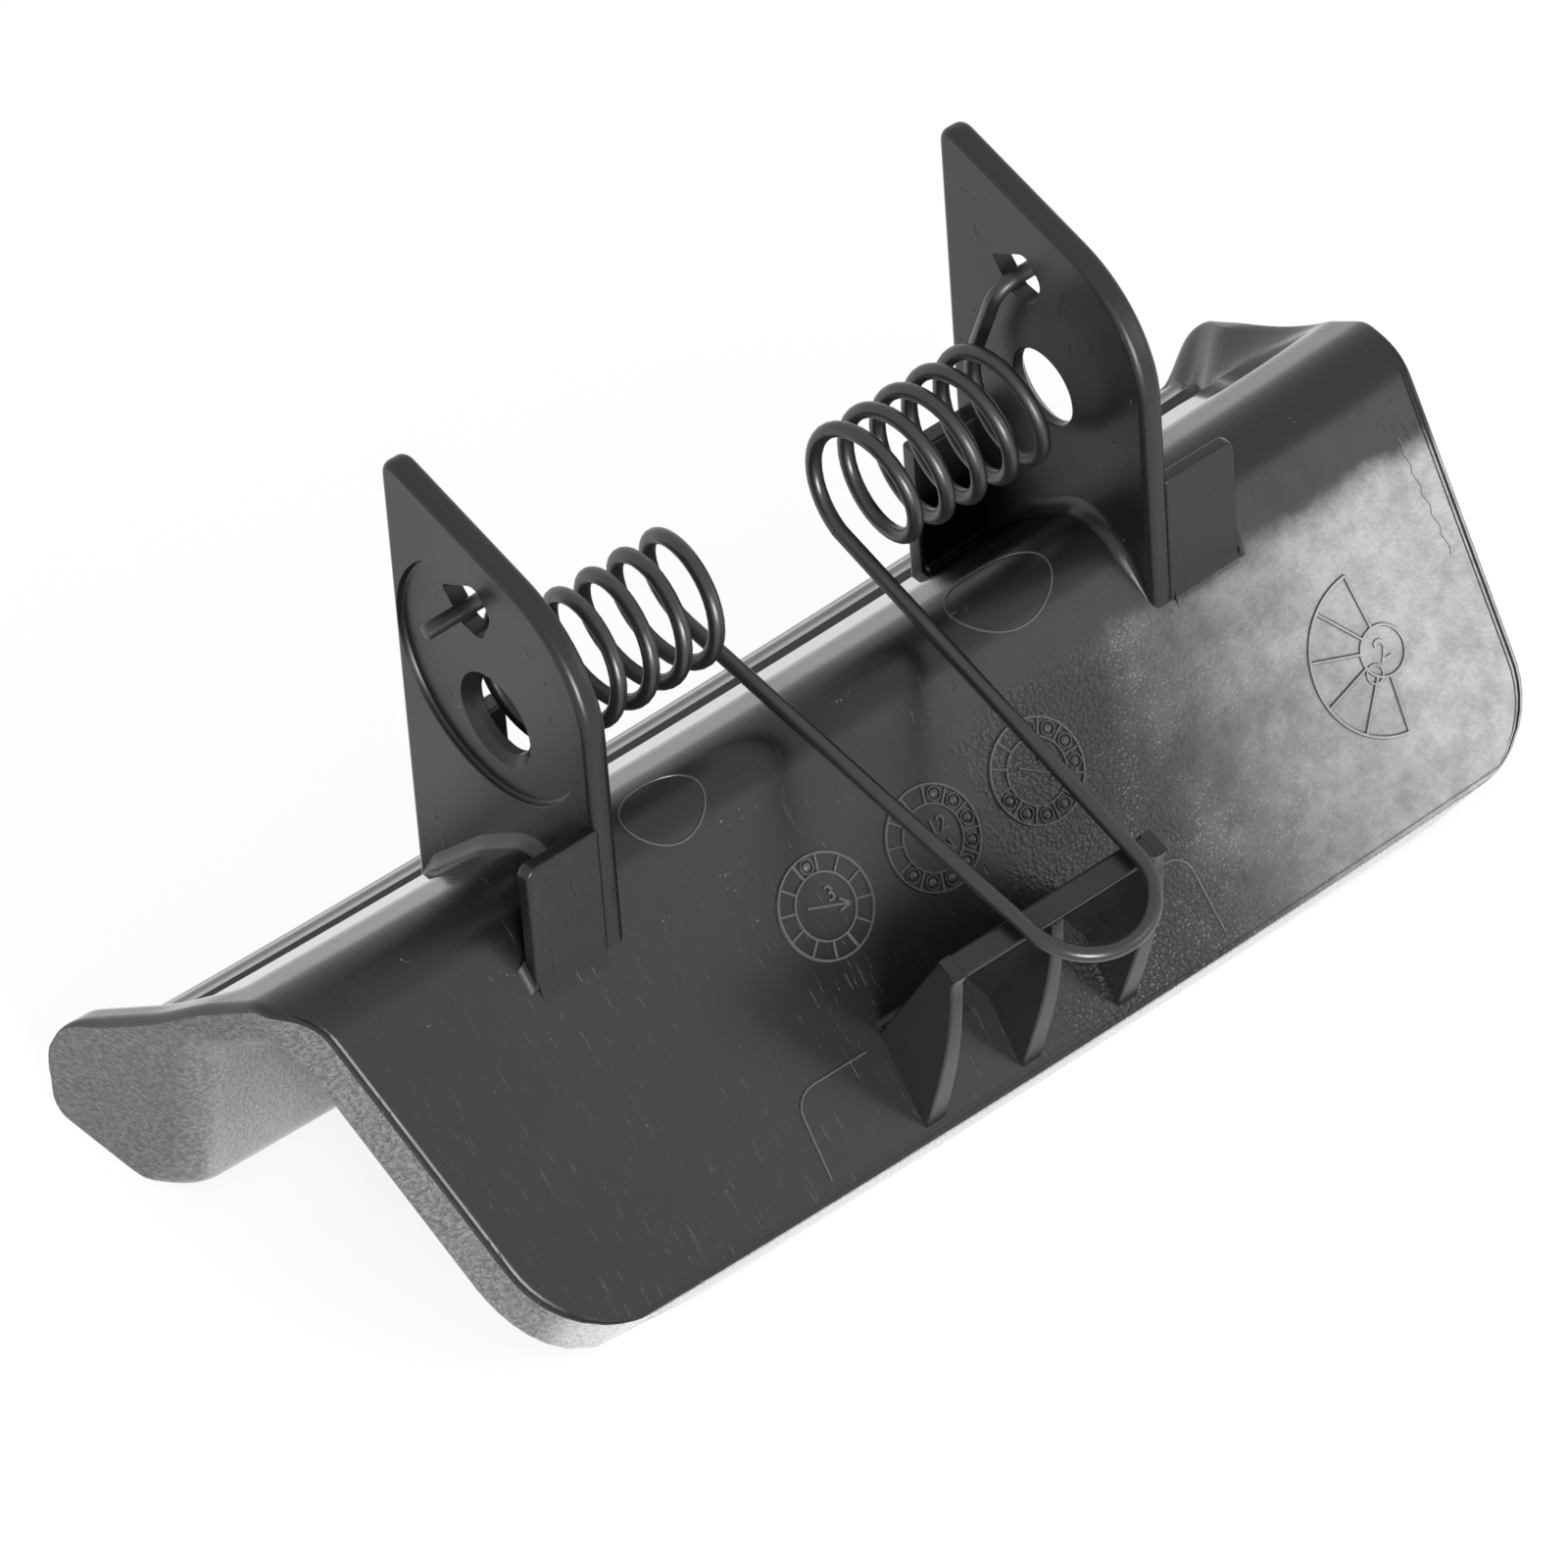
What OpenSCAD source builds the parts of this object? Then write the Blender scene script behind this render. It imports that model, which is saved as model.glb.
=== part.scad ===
// Pull handle with a double torsion return spring.
// Frame: origin on the pivot axis, midway between the ears; X runs along the axis, Z is up
// with the ears upright, and Y runs from the near edge to the far rim. All sizes are in mm.

/* [Shell] */
// Length of the shell's left half at its far rim
half_length = 47.3; // [47:0.1:56]
// Length of the shell's left half at its ridge
ridge_half = 46.7; // [46:0.1:47.4]
// Length of the front panel's left half at its near edge, before the corner is rounded
near_half = 40.4; // [37:0.2:44]
// Radius of the front panel's left corner, seen square to the panel
near_corner = 9; // [2:0.5:11]
// Length of the shell's right half at its far rim
right_length = 50.4; // [49:0.2:56]
// Length of the shell's right half at its ridge
right_ridge_half = 47.2; // [46.6:0.1:48.4]
// Length of the front panel's right half at its near edge, before the corner is rounded
right_near_half = 44.6; // [41:0.2:46]
// Radius of the front panel's right corner, seen square to the panel
right_near_corner = 6.6; // [2:0.5:9]
// Radius of the far corners, seen from above
far_corner = 1.5; // [1:0.5:5]
// Radius of the shell's lengthwise bow, which lifts the two ends
bow_radius = 950; // [600:10:1600]
// Distance of the ridge's sharp corner in front of the pivot axis
ridge_forward = 5.45; // [4.5:0.05:6.5]
// Depth of the ridge's sharp corner below the pivot axis
ridge_drop = 6.9; // [6.5:0.1:7.6]
// Rounding of the ridge
ridge_round = 4; // [2:0.5:5]
// Slope of the front panel below the horizontal, in degrees
panel_slope = 53.4; // [50:0.2:57]
// Wall of the front panel
panel_wall = 3; // [2.4:0.1:3.6]
// Slope of the roof behind the ridge, in degrees
roof_slope = 36; // [33:0.5:39]
// Wall of the roof behind the ridge
roof_wall = 3.3; // [2.6:0.1:4]

/* [Grip bar] */
// Distance of the bar's far face behind the pivot axis
bar_far = 20.1; // [19:0.1:22]
// Distance of the bar's inner face behind the pivot axis, at its foot
bar_near = 5.6; // [4.8:0.1:6.5]
// How far the bar's inner face leans forward, in degrees
bar_lean = 10; // [6:0.5:13]
// Rounding from the roof into the far face
rim_round = 9; // [4:0.5:10]
// Rounding of the bar's foot at the finger side
foot_round = 4; // [1:0.5:5]
// Height of the pivot axis above the face that the handle lies on
pivot_height = 32.3; // [31.5:0.1:34]

/* [Pocket] */
// Wall left standing at each end of the rim pocket
pocket_end_wall = 2.7; // [2:0.1:5]
// Corner radius of the rim pocket, seen from above
pocket_corner = 2.5; // [1:0.5:4]
// Distance behind the pivot axis at which the pocket leaves the roof
pocket_start = 1.5; // [0.5:0.1:3]
// Slope of the pocket's floor, in degrees
pocket_slope = 46.9; // [45:0.1:48.5]
// Depth of the flat land along the far rim, measured back from the far face
land_depth = 4.1; // [2:0.1:5]
// Slope of the land along the far rim, in degrees
land_slope = 21; // [10:1:30]

/* [Ears] */
// Gap between the two ears
ear_gap = 44.5; // [43.5:0.1:50]
// Wall of an ear
ear_wall = 1.8; // [1.4:0.1:2.6]
// Distance of an ear's front edge in front of the pivot axis
ear_front = 10.1; // [9.4:0.1:12]
// Distance of an ear's back edge behind the pivot axis
ear_back = 9.3; // [8:0.1:10]
// Height of an ear's back tip above the pivot axis
ear_tip = 17; // [13.5:0.1:19]
// Slope of an ear's top edge down to the front, in degrees
ear_top_slope = 16; // [8:1:22]
// Rounding of an ear's front shoulder
ear_shoulder = 9.5; // [3:0.5:10.5]
// Rounding of an ear's back tip
ear_tip_round = 1.3; // [0.5:0.1:3]
// Diameter of the pivot bore
bore_d = 5.6; // [4:0.1:6]
// Extra radius of the lead-in at the bore's outer rim
lead_in = 0.65; // [0.3:0.05:0.9]
// Depth of the lead-in
lead_in_depth = 0.3; // [0.2:0.05:0.5]
// Radius of the round recess in an ear's outer face
recess_r = 8.8; // [7:0.1:9]
// Height of the recess's centre above the pivot axis
recess_up = 3.4; // [2.5:0.1:4]
// Depth of the recess
recess_depth = 0.5; // [0.2:0.05:0.7]
// Diameter of the hole that takes a spring end
end_hole_d = 4.2; // [2.6:0.1:4.8]
// Distance of the spring-end hole behind the pivot axis
end_hole_back = 2; // [1.5:0.1:3]
// Height of the spring-end hole above the pivot axis
end_hole_up = 8.2; // [7.8:0.1:8.8]

/* [Stops and flanges] */
// How far a stop rib stands out from its ear
stop_reach = 5.6; // [3:0.1:8]
// Wall of a stop rib
stop_wall = 1.1; // [0.8:0.1:2]
// Depth of a stop rib's top below the pivot axis
stop_drop = 2.6; // [0:0.1:5]
// How far a back flange reaches inward from its ear
flange_reach = 5; // [2:0.1:6]
// Wall of a back flange
flange_wall = 1.5; // [1:0.1:2.5]
// Depth of a back flange's top below the pivot axis
flange_drop = 7.2; // [6:0.1:10]

/* [Spring rest] */
// Width of the rest plate along the handle
rest_width = 18; // [17:0.2:24]
// Wall of the rest plate
rest_wall = 1.8; // [1.4:0.1:2.4]
// Distance of the rest plate's root down the front panel
rest_down = 22.5; // [21.5:0.1:24]
// Height of the rest plate above the front panel, along the plate
rest_rise = 13; // [11.5:0.1:14]
// Lean of the rest plate from the vertical, in degrees
rest_lean = 31.7; // [28:0.1:34]
// Number of fins under the rest plate
fin_count = 3; // [2:1:5]
// Wall of a fin
fin_wall = 1.1; // [0.8:0.1:1.6]
// Drop of the fins below the crest of the rest plate
fin_drop = 1.2; // [0.5:0.1:3]

/* [Spring] */
// Wire diameter of the return spring
wire_d = 1.1; // [0.9:0.05:1.3]
// Mean radius of a coil
coil_r = 4.2; // [4.1:0.05:4.5]
// Spacing of the turns
coil_pitch = 2.7; // [2.2:0.05:2.75]
// Distance of each coil's first turn from the middle of the handle
coil_start = 6.4; // [5:0.1:6.8]
// Whole turns in a coil, before the last part turn that reaches the end leg
coil_turns = 5; // [3:1:5]
// Slack of the coils behind the pivot axis
coil_back = 0.6; // [0:0.05:0.6]
// Slack of the coils above the pivot axis
coil_up = 0.2; // [0:0.05:0.25]
// Gap between the wire and the crest that it rests on
rest_gap = 0.15; // [0.05:0.05:0.5]
// Inner width of the loop, between the wires' centres
loop_width = 9.5; // [7:0.1:11]
// How far the loop's bend centre lies beyond the crest
loop_overhang = 0.4; // [0.2:0.1:4]
// How far the loop sits off the middle of the handle
loop_shift = 1.8; // [0:0.1:3]
// Bend radius at the spring's two ends
end_bend = 1.7; // [1:0.1:1.8]
// How far a spring end stands out past its ear
end_reach = 2.85; // [1.5:0.05:4]

/* [Hidden] */
$fn = 96;

handle_colour = [0.16, 0.16, 0.17];
spring_colour = [0.07, 0.07, 0.08];
arc_steps = 8;
bow_steps = 720;
past = 4;
sink = 1.4;
near_margin = 0.2;
plan_margin = 0.5;

// --- Plane geometry; points are [y, z] unless said otherwise ---
function unit(v) = v / norm(v);
function heading(a) = [cos(a), sin(a)];
function side_angle(a, b) = atan2(a[0] * b[1] - a[1] * b[0], a * b);
function turned(v, a) = [v[0] * cos(a) - v[1] * sin(a), v[0] * sin(a) + v[1] * cos(a)];
// Where the line through p along u meets the line through q along v
function across_to(v) = [v[1], -v[0]];
function meet(p, u, q, v) = p + u * ((q - p) * across_to(v)) / (u * across_to(v));

// The arc of radius r that rounds corner b of the path a, b, c
function corner_arc(a, b, c, r) =
    let (u = unit(a - b), v = unit(c - b), half = acos(u * v) / 2)
    let (centre = b + unit(u + v) * r / sin(half))
    let (from = b + u * r / tan(half) - centre, to = b + v * r / tan(half) - centre)
    let (sweep = side_angle(from, to))
    [for (i = [0:arc_steps]) centre + turned(from, sweep * i / arc_steps)];

// A closed outline from corners [first, second, radius]
function rounded(corners) =
    let (n = len(corners), at = [for (c = corners) [c[0], c[1]]])
    [for (i = [0:n - 1])
        each corners[i][2] == 0 ? [at[i]]
            : corner_arc(at[(i + n - 1) % n], at[i], at[(i + 1) % n], corners[i][2])];

// --- Places on the shell's section, at the middle of the handle ---
ridge = [-ridge_forward, -ridge_drop];
down_panel = heading(180 + panel_slope);
into_panel = heading(panel_slope - 90);
down_roof = heading(-roof_slope);
into_roof = heading(-roof_slope - 90);
down_pocket = heading(-pocket_slope);
up_bar = heading(90 + bar_lean);
base_z = -pivot_height;
longest = max(half_length, right_length);
half_sweep = asin((longest + past) / bow_radius);
// The front panel ends where its lower corner meets the face that the handle lies on
panel_length = (pivot_height - ridge_drop - panel_wall * cos(panel_slope)) / sin(panel_slope);
near_edge = ridge + down_panel * panel_length;
inner_ridge = meet(ridge + into_panel * panel_wall, down_panel, ridge + into_roof * roof_wall, down_roof);
bar_top = meet(ridge + into_roof * roof_wall, down_roof, [bar_near, base_z], up_bar);
rim = meet(ridge, down_roof, [bar_far, 0], [0, 1]);
pocket_top = meet(ridge, down_roof, [pocket_start, 0], [0, 1]);
land_in = meet(pocket_top, down_pocket, [bar_far - land_depth, 0], [0, 1]);
land_out = land_in + heading(-land_slope) * (land_depth + past) / cos(land_slope);
// The bow lifts the ends by this much, so the section runs that far below its base
end_lift = bow_radius - sqrt(pow(bow_radius, 2) - pow(longest, 2));
foot_z = base_z - end_lift;

// Height of the pocket's floor at y, and of the front panel at y, at the middle of the handle
function pocket_floor(y) = meet(pocket_top, down_pocket, [y, 0], [0, 1])[1];
function panel_face(y) = meet(ridge, down_panel, [y, 0], [0, 1])[1];

ear_inner = ear_gap / 2;
ear_outer = ear_inner + ear_wall;

// --- Placing outlines ---
// An outline in [y, z], made solid from x0 to x1
module across(x0, x1) {
    translate([x0, 0, 0]) rotate([90, 0, 90]) linear_extrude(x1 - x0) children();
}

// An outline in [y, z], swept along the shell's bow through the handle's whole length
module bowed(outline) {
    translate([0, 0, bow_radius]) rotate([0, 90, 90]) rotate([0, 0, -half_sweep])
        rotate_extrude(angle = 2 * half_sweep, $fn = bow_steps)
            polygon([for (p = outline) [bow_radius - p[1], p[0]]]);
}

// An outline in [x, y], standing from well below the handle to well above it
module upright(outline) {
    translate([0, 0, -2 * pivot_height]) linear_extrude(4 * pivot_height) polygon(outline);
}

// Two copies, one at each end of the handle
module both_sides() {
    children();
    mirror([1, 0, 0]) children();
}

// --- Shell: front panel, ridge, roof and grip bar ---
shell_section = rounded([
    [near_edge[0], near_edge[1], 0],
    [ridge[0], ridge[1], ridge_round],
    [rim[0], rim[1], rim_round],
    [bar_far, foot_z, 0],
    [bar_near, foot_z, 0],
    [bar_top[0], bar_top[1], 0],
    [inner_ridge[0], inner_ridge[1], 1],
    [near_edge[0] + into_panel[0] * panel_wall, near_edge[1] + into_panel[1] * panel_wall, 0]
]);

// The near corners are round as seen square to the panel, so from above they are foreshortened
plan_near = near_edge[0] - near_margin;
plan_far = bar_far + plan_margin;
panel_view = cos(panel_slope);
function on_panel(p) = [p[0], p[1] / panel_view];
function from_above(points) = [for (p = points) [p[0], p[1] * panel_view]];
far_left = [-half_length, plan_far];
far_right = [right_length, plan_far];
ridge_left = [-ridge_half, ridge[0]];
ridge_right = [right_ridge_half, ridge[0]];
near_left = [-near_half, plan_near];
near_right = [right_near_half, plan_near];
plan_outline = concat(
    corner_arc(far_left, far_right, ridge_right, far_corner),
    [ridge_right],
    from_above(corner_arc(on_panel(ridge_right), on_panel(near_right), on_panel(near_left), right_near_corner)),
    from_above(corner_arc(on_panel(near_right), on_panel(near_left), on_panel(ridge_left), near_corner)),
    [ridge_left],
    corner_arc(ridge_left, far_left, far_right, far_corner)
);

module foot_rounding() {
    across(-longest - past, longest + past) difference() {
        translate([bar_near - past, base_z - past]) square([past + foot_round, past + foot_round]);
        translate([bar_near + foot_round, base_z + foot_round]) circle(foot_round);
    }
}

pocket_left = half_length - pocket_end_wall;
pocket_right = right_length - pocket_end_wall;
pocket_section = [
    pocket_top,
    land_in,
    land_out,
    [land_out[0], 0],
    [pocket_top[0], 0]
];
pocket_outline = rounded([
    [pocket_right, pocket_start - past, pocket_corner],
    [pocket_right, bar_far + 2 * past, pocket_corner],
    [-pocket_left, bar_far + 2 * past, pocket_corner],
    [-pocket_left, pocket_start - past, pocket_corner]
]);

module pocket() {
    intersection() {
        bowed(pocket_section);
        upright(pocket_outline);
    }
}

module shell() {
    difference() {
        intersection() {
            bowed(shell_section);
            upright(plan_outline);
        }
        pocket();
        foot_rounding();
        translate([-2 * longest, -2 * longest, base_z - 4 * past])
            cube([4 * longest, 4 * longest, 4 * past]);
    }
}

// --- Ear with its pivot bore, recess and spring-end hole ---
ear_front_top = ear_tip - (ear_front + ear_back) * tan(ear_top_slope);
ear_outline = rounded([
    [ear_back, ear_tip, ear_tip_round],
    [-ear_front, ear_front_top, ear_shoulder],
    [-ear_front, panel_face(-ear_front) - sink, 0],
    [ridge[0], ridge[1] - ridge_round / 2 - sink, 0],
    [pocket_start, pocket_floor(pocket_start) - sink, 0],
    [ear_back, pocket_floor(ear_back) - sink, 0]
]);

// A round tool along X that starts at x and ends past the ear's outer face
module ear_drill(x, y, z, r) {
    translate([x, y, z]) rotate([0, 90, 0]) cylinder(h = ear_outer + past - x, r = r);
}

module ear() {
    difference() {
        across(ear_inner, ear_outer) polygon(ear_outline);
        ear_drill(ear_outer - recess_depth, 0, recess_up, recess_r);
        ear_drill(ear_inner - past, 0, 0, bore_d / 2);
        ear_drill(ear_inner - past, end_hole_back, end_hole_up, end_hole_d / 2);
        translate([ear_outer - recess_depth - lead_in_depth, 0, 0]) rotate([0, 90, 0])
            cylinder(h = 2 * lead_in_depth, r1 = bore_d / 2, r2 = bore_d / 2 + 2 * lead_in);
    }
}

// --- Stop rib outside each ear, and back flange inside it ---
module stop_rib() {
    foot = panel_face(-ear_front) - sink;
    translate([ear_outer - sink / 2, -ear_front - stop_wall / 2, foot])
        cube([stop_reach + sink / 2, stop_wall, -stop_drop - foot]);
}

module back_flange() {
    back = ear_back - 0.5;
    foot = pocket_floor(back) - sink;
    translate([ear_inner - flange_reach, back - flange_wall, foot])
        cube([flange_reach + sink / 2, flange_wall, -flange_drop - foot]);
}

// --- Spring rest: a leaning plate on three fins ---
up_rest = heading(90 + rest_lean);
rest_front = heading(180 + rest_lean);
rest_root = ridge + down_panel * rest_down;
crest = rest_root + up_rest * rest_rise;
coil_centre = [coil_back, coil_up];
// The wire and the crest's top face are parallel; both follow the coil's lower tangent
crest_offset = coil_r + wire_d / 2 + rest_gap;
to_crest = crest - coil_centre;
leg_slope = atan2(-to_crest[1], -to_crest[0]) - asin(crest_offset / norm(to_crest));
along_leg = heading(180 + leg_slope);
rest_foot = rest_root - up_rest * sink;
fin_root = near_edge - down_panel * 0.4;

module rest_plate() {
    reach = rest_wall / 2;
    across(-rest_width / 2, rest_width / 2) polygon([
        rest_foot + rest_front * reach,
        meet(rest_foot + rest_front * reach, up_rest, crest, along_leg),
        meet(rest_foot - rest_front * reach, up_rest, crest, along_leg),
        rest_foot - rest_front * reach
    ]);
}

module fins() {
    span = rest_width - fin_wall;
    outline = [
        crest - up_rest * fin_drop,
        crest - up_rest * fin_drop + rest_front * rest_wall / 2,
        fin_root,
        fin_root + into_panel * sink,
        rest_foot
    ];
    for (i = [0:fin_count - 1]) {
        x = -span / 2 + span * i / (fin_count - 1);
        across(x - fin_wall / 2, x + fin_wall / 2) polygon(outline);
    }
}

module handle() {
    color(handle_colour) union() {
        shell();
        both_sides() {
            ear();
            stop_rib();
            back_flange();
        }
        rest_plate();
        fins();
    }
}

// --- Return spring: end leg, coil, leg, loop, leg, coil, end leg, as one wire ---
rings_per_turn = 8;
wire_sides = 6;
leg_angle = leg_slope - 90;
leg_root = coil_centre + coil_r * heading(leg_angle);
crest_along = (crest - leg_root) * along_leg;
bend_centre = crest_along + loop_overhang;
to_hole = [end_hole_back, end_hole_up] - coil_centre;
hole_angle = atan2(to_hole[1], to_hole[0]);
leave_angle = hole_angle - acos(coil_r / norm(to_hole));
all_turns = coil_turns + (leave_angle - leg_angle) / 360;
coil_end = coil_start + coil_pitch * all_turns;
end_leg = sqrt(pow(norm(to_hole), 2) - pow(coil_r, 2));
up_end = heading(leave_angle + 90);
leave_point = coil_centre + coil_r * heading(leave_angle);

// A point of the loop's plane: x across the handle, s down the leg from the coil
function on_leg(x, s) = [x, leg_root[0] + along_leg[0] * s, leg_root[1] + along_leg[1] * s];
function on_coil(side, turn) =
    let (a = leg_angle + 360 * turn)
    [side * (coil_start + coil_pitch * turn), coil_centre[0] + coil_r * cos(a), coil_centre[1] + coil_r * sin(a)];
function on_end(side, x, s) = [side * x, leave_point[0] + up_end[0] * s, leave_point[1] + up_end[1] * s];

coil_rings = ceil(all_turns * rings_per_turn);
bend_rings = 6;
end_rings = 4;
leg_rings = 4;
leg_start = 1.5 * wire_d;

// One half of the wire, from beside the loop's tip to the wire's end
function half_wire(side) = concat(
    [for (i = [1:bend_rings])
        let (a = 90 - 90 * i / bend_rings)
        on_leg(loop_shift + side * loop_width / 2 * cos(a), bend_centre + loop_width / 2 * sin(a))],
    [for (i = [1:leg_rings])
        let (t = i / (leg_rings + 1), x0 = loop_shift + side * loop_width / 2)
        on_leg(x0 + (side * coil_start - x0) * t, bend_centre * (1 - t))],
    [for (i = [0:coil_rings]) on_coil(side, all_turns * i / coil_rings)],
    [for (i = [0:end_rings])
        let (a = 90 * i / end_rings)
        on_end(side, coil_end + end_bend * (1 - cos(a)), end_leg - end_bend * (1 - sin(a)))],
    [for (x = [ear_outer + end_reach - wire_d, ear_outer + end_reach]) on_end(side, x, end_leg)]
);
function reversed(list) = [for (i = [len(list) - 1:-1:0]) list[i]];
wire_path = concat(
    reversed(half_wire(-1)),
    [on_leg(loop_shift, bend_centre + loop_width / 2)],
    half_wire(1)
);

// Tangent at each ring, and a normal carried along from ring to ring without twist
function tangents(path) =
    [for (i = [0:len(path) - 1]) unit(path[min(i + 1, len(path) - 1)] - path[max(i - 1, 0)])];
function square_to(v, t) = unit(v - t * (v * t));
function normals(t) =
    [for (i = 0, v = square_to([0, 0, 1], t[0]); i < len(t);
        i = i + 1, v = square_to(v, t[min(i, len(t) - 1)])) v];

module tube(path, r, sides) {
    t = tangents(path);
    n = normals(t);
    count = len(path);
    points = [for (i = [0:count - 1], k = [0:sides - 1])
        let (a = 360 * k / sides)
        path[i] + r * (n[i] * cos(a) + cross(t[i], n[i]) * sin(a))];
    walls = [for (i = [0:count - 2], k = [0:sides - 1])
        let (a = i * sides + k, b = i * sides + (k + 1) % sides)
        each [[a, a + sides, b], [b, a + sides, b + sides]]];
    start = [for (k = [1:sides - 2]) [0, k, k + 1]];
    last = (count - 1) * sides;
    end = [for (k = [1:sides - 2]) [last, last + k + 1, last + k]];
    polyhedron(points, concat(walls, start, end));
}

// Least clear gap between stretches of wire that are at least half a turn apart
apart = rings_per_turn / 2;
self_gap = min([for (i = [0:len(wire_path) - 1 - apart], j = [i + apart:len(wire_path) - 1])
    norm(wire_path[i] - wire_path[j])]) - wire_d;
echo(least_gap_of_spring_to_itself = self_gap);

module return_spring() {
    color(spring_colour) tube(wire_path, wire_d / 2, wire_sides);
}

handle();
return_spring();
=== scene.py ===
"""A sprung pull handle: one moulding and its double torsion spring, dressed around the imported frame.

Lengths inside the script are millimetres in the part's own frame: X along the pivot axis,
Y from the near edge to the far rim, Z up. Meshes are scaled to metres as they are finished.
"""

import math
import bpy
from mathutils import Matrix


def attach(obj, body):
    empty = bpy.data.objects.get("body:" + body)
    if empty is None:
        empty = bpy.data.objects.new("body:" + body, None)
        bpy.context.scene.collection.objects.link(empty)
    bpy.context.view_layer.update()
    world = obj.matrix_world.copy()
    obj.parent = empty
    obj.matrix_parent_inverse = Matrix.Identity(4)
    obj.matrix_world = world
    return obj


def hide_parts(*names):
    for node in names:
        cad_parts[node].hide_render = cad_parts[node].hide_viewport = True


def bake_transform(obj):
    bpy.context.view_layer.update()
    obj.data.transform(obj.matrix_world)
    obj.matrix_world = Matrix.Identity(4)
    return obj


bl_info = {
    "name": "Sprung pull handle",
    "version": (1, 0, 0),
    "blender": (4, 5, 0),
    "location": "View3D > Sidebar > Handle",
    "description": "Builds a moulded pull handle with pivot ears and a double torsion spring",
    "category": "Add Mesh",
}

import bmesh
import bpy
from bpy.props import FloatProperty, FloatVectorProperty, IntProperty, PointerProperty
from bpy.types import Operator, Panel, PropertyGroup
from mathutils import Matrix, Vector

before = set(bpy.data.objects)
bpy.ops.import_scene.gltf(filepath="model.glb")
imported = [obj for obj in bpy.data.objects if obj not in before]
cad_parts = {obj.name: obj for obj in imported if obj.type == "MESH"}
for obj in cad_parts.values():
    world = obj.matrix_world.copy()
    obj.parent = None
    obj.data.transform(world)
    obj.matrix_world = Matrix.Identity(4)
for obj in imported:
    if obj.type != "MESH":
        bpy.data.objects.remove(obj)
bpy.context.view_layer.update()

MM = 0.001
SIDES = (-1, 1)
# How far the tops of the pocket's left and right end walls dip below the roof
LEFT_DIP, RIGHT_DIP = 0.6, 0.42
# The upper stretch of the pocket's floor is a little flatter: its reach, and its rise at the end
CROWN_REACH, CROWN_RISE = 7.0, 0.55
# How far the near edge reaches past the panel's plain end, and its face's foot stands behind it
NEAR_REACH, NEAR_DRAFT = 0.2, 0.8
# Width and depth of the rounding from the pocket's land into the far face
RIM_EDGE, RIM_DROP = 2.6, 2.4
# How far the panel's foot comes forward and down towards the left near corner
FOOT_OUT, FOOT_DOWN = 0.5, 0.8


# --- Sizes and colours that a user would change ---

def length(name, description, default):
    return FloatProperty(name=name, description=description, default=default, min=0.0, step=10)


def angle(name, description, default):
    return FloatProperty(name=name, description=description, default=default, min=0.0, max=90.0)


class ShellSizes(PropertyGroup):
    """Sizes of the shell, in millimetres and degrees"""
    left_far: length("Left far length", "Left half's length at the far rim", 47.0)
    left_ridge: length("Left ridge length", "Left half's length at the ridge", 46.7)
    left_near: length("Left near length", "Left half's length at the near edge's sharp corner", 40.4)
    left_corner: length("Left corner", "Radius of the panel's left corner", 9.0)
    right_far: length("Right far length", "Right half's length at the far rim", 51.2)
    right_ridge: length("Right ridge length", "Right half's length at the ridge", 47.3)
    right_near: length("Right near length", "Right half's length at the near edge's sharp corner", 44.3)
    right_corner: length("Right corner", "Radius of the panel's right corner", 6.6)
    far_corner: length("Far corner", "Radius of the right far corner from above", 1.5)
    bow_radius: length("Bow radius", "Radius of the lengthwise bow", 950.0)
    ridge_forward: length("Ridge forward", "Ridge corner in front of the pivot axis", 5.45)
    ridge_drop: length("Ridge drop", "Ridge corner below the pivot axis", 6.9)
    ridge_round: length("Ridge round", "Rounding of the ridge", 4.0)
    panel_slope: angle("Panel slope", "Slope of the front panel", 53.4)
    panel_wall: length("Panel wall", "Wall of the front panel", 3.0)
    roof_slope: angle("Roof slope", "Slope of the roof", 36.0)
    roof_wall: length("Roof wall", "Wall of the roof", 3.3)
    bar_far: length("Bar far face", "Far face behind the pivot axis", 20.1)
    bar_near: length("Bar near face", "Finger side of the bar behind the pivot axis", 5.6)
    bar_lean: angle("Bar lean", "Forward lean of the bar's finger side", 10.0)
    rim_round: length("Rim round", "Rounding from the roof into the far face", 9.0)
    pivot_height: length("Pivot height", "Pivot axis above the face it lies on", 32.3)
    pocket_wall: length("Pocket end wall", "Wall left standing at each end of the rim pocket", 2.7)
    pocket_start: length("Pocket start", "Pocket's top edge behind the pivot axis", 1.5)
    pocket_slope: angle("Pocket slope", "Slope of the pocket's floor", 46.9)
    land_depth: length("Land depth", "Depth of the land along the far rim", 4.1)
    land_slope: angle("Land slope", "Slope of the land along the far rim", 21.0)


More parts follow.
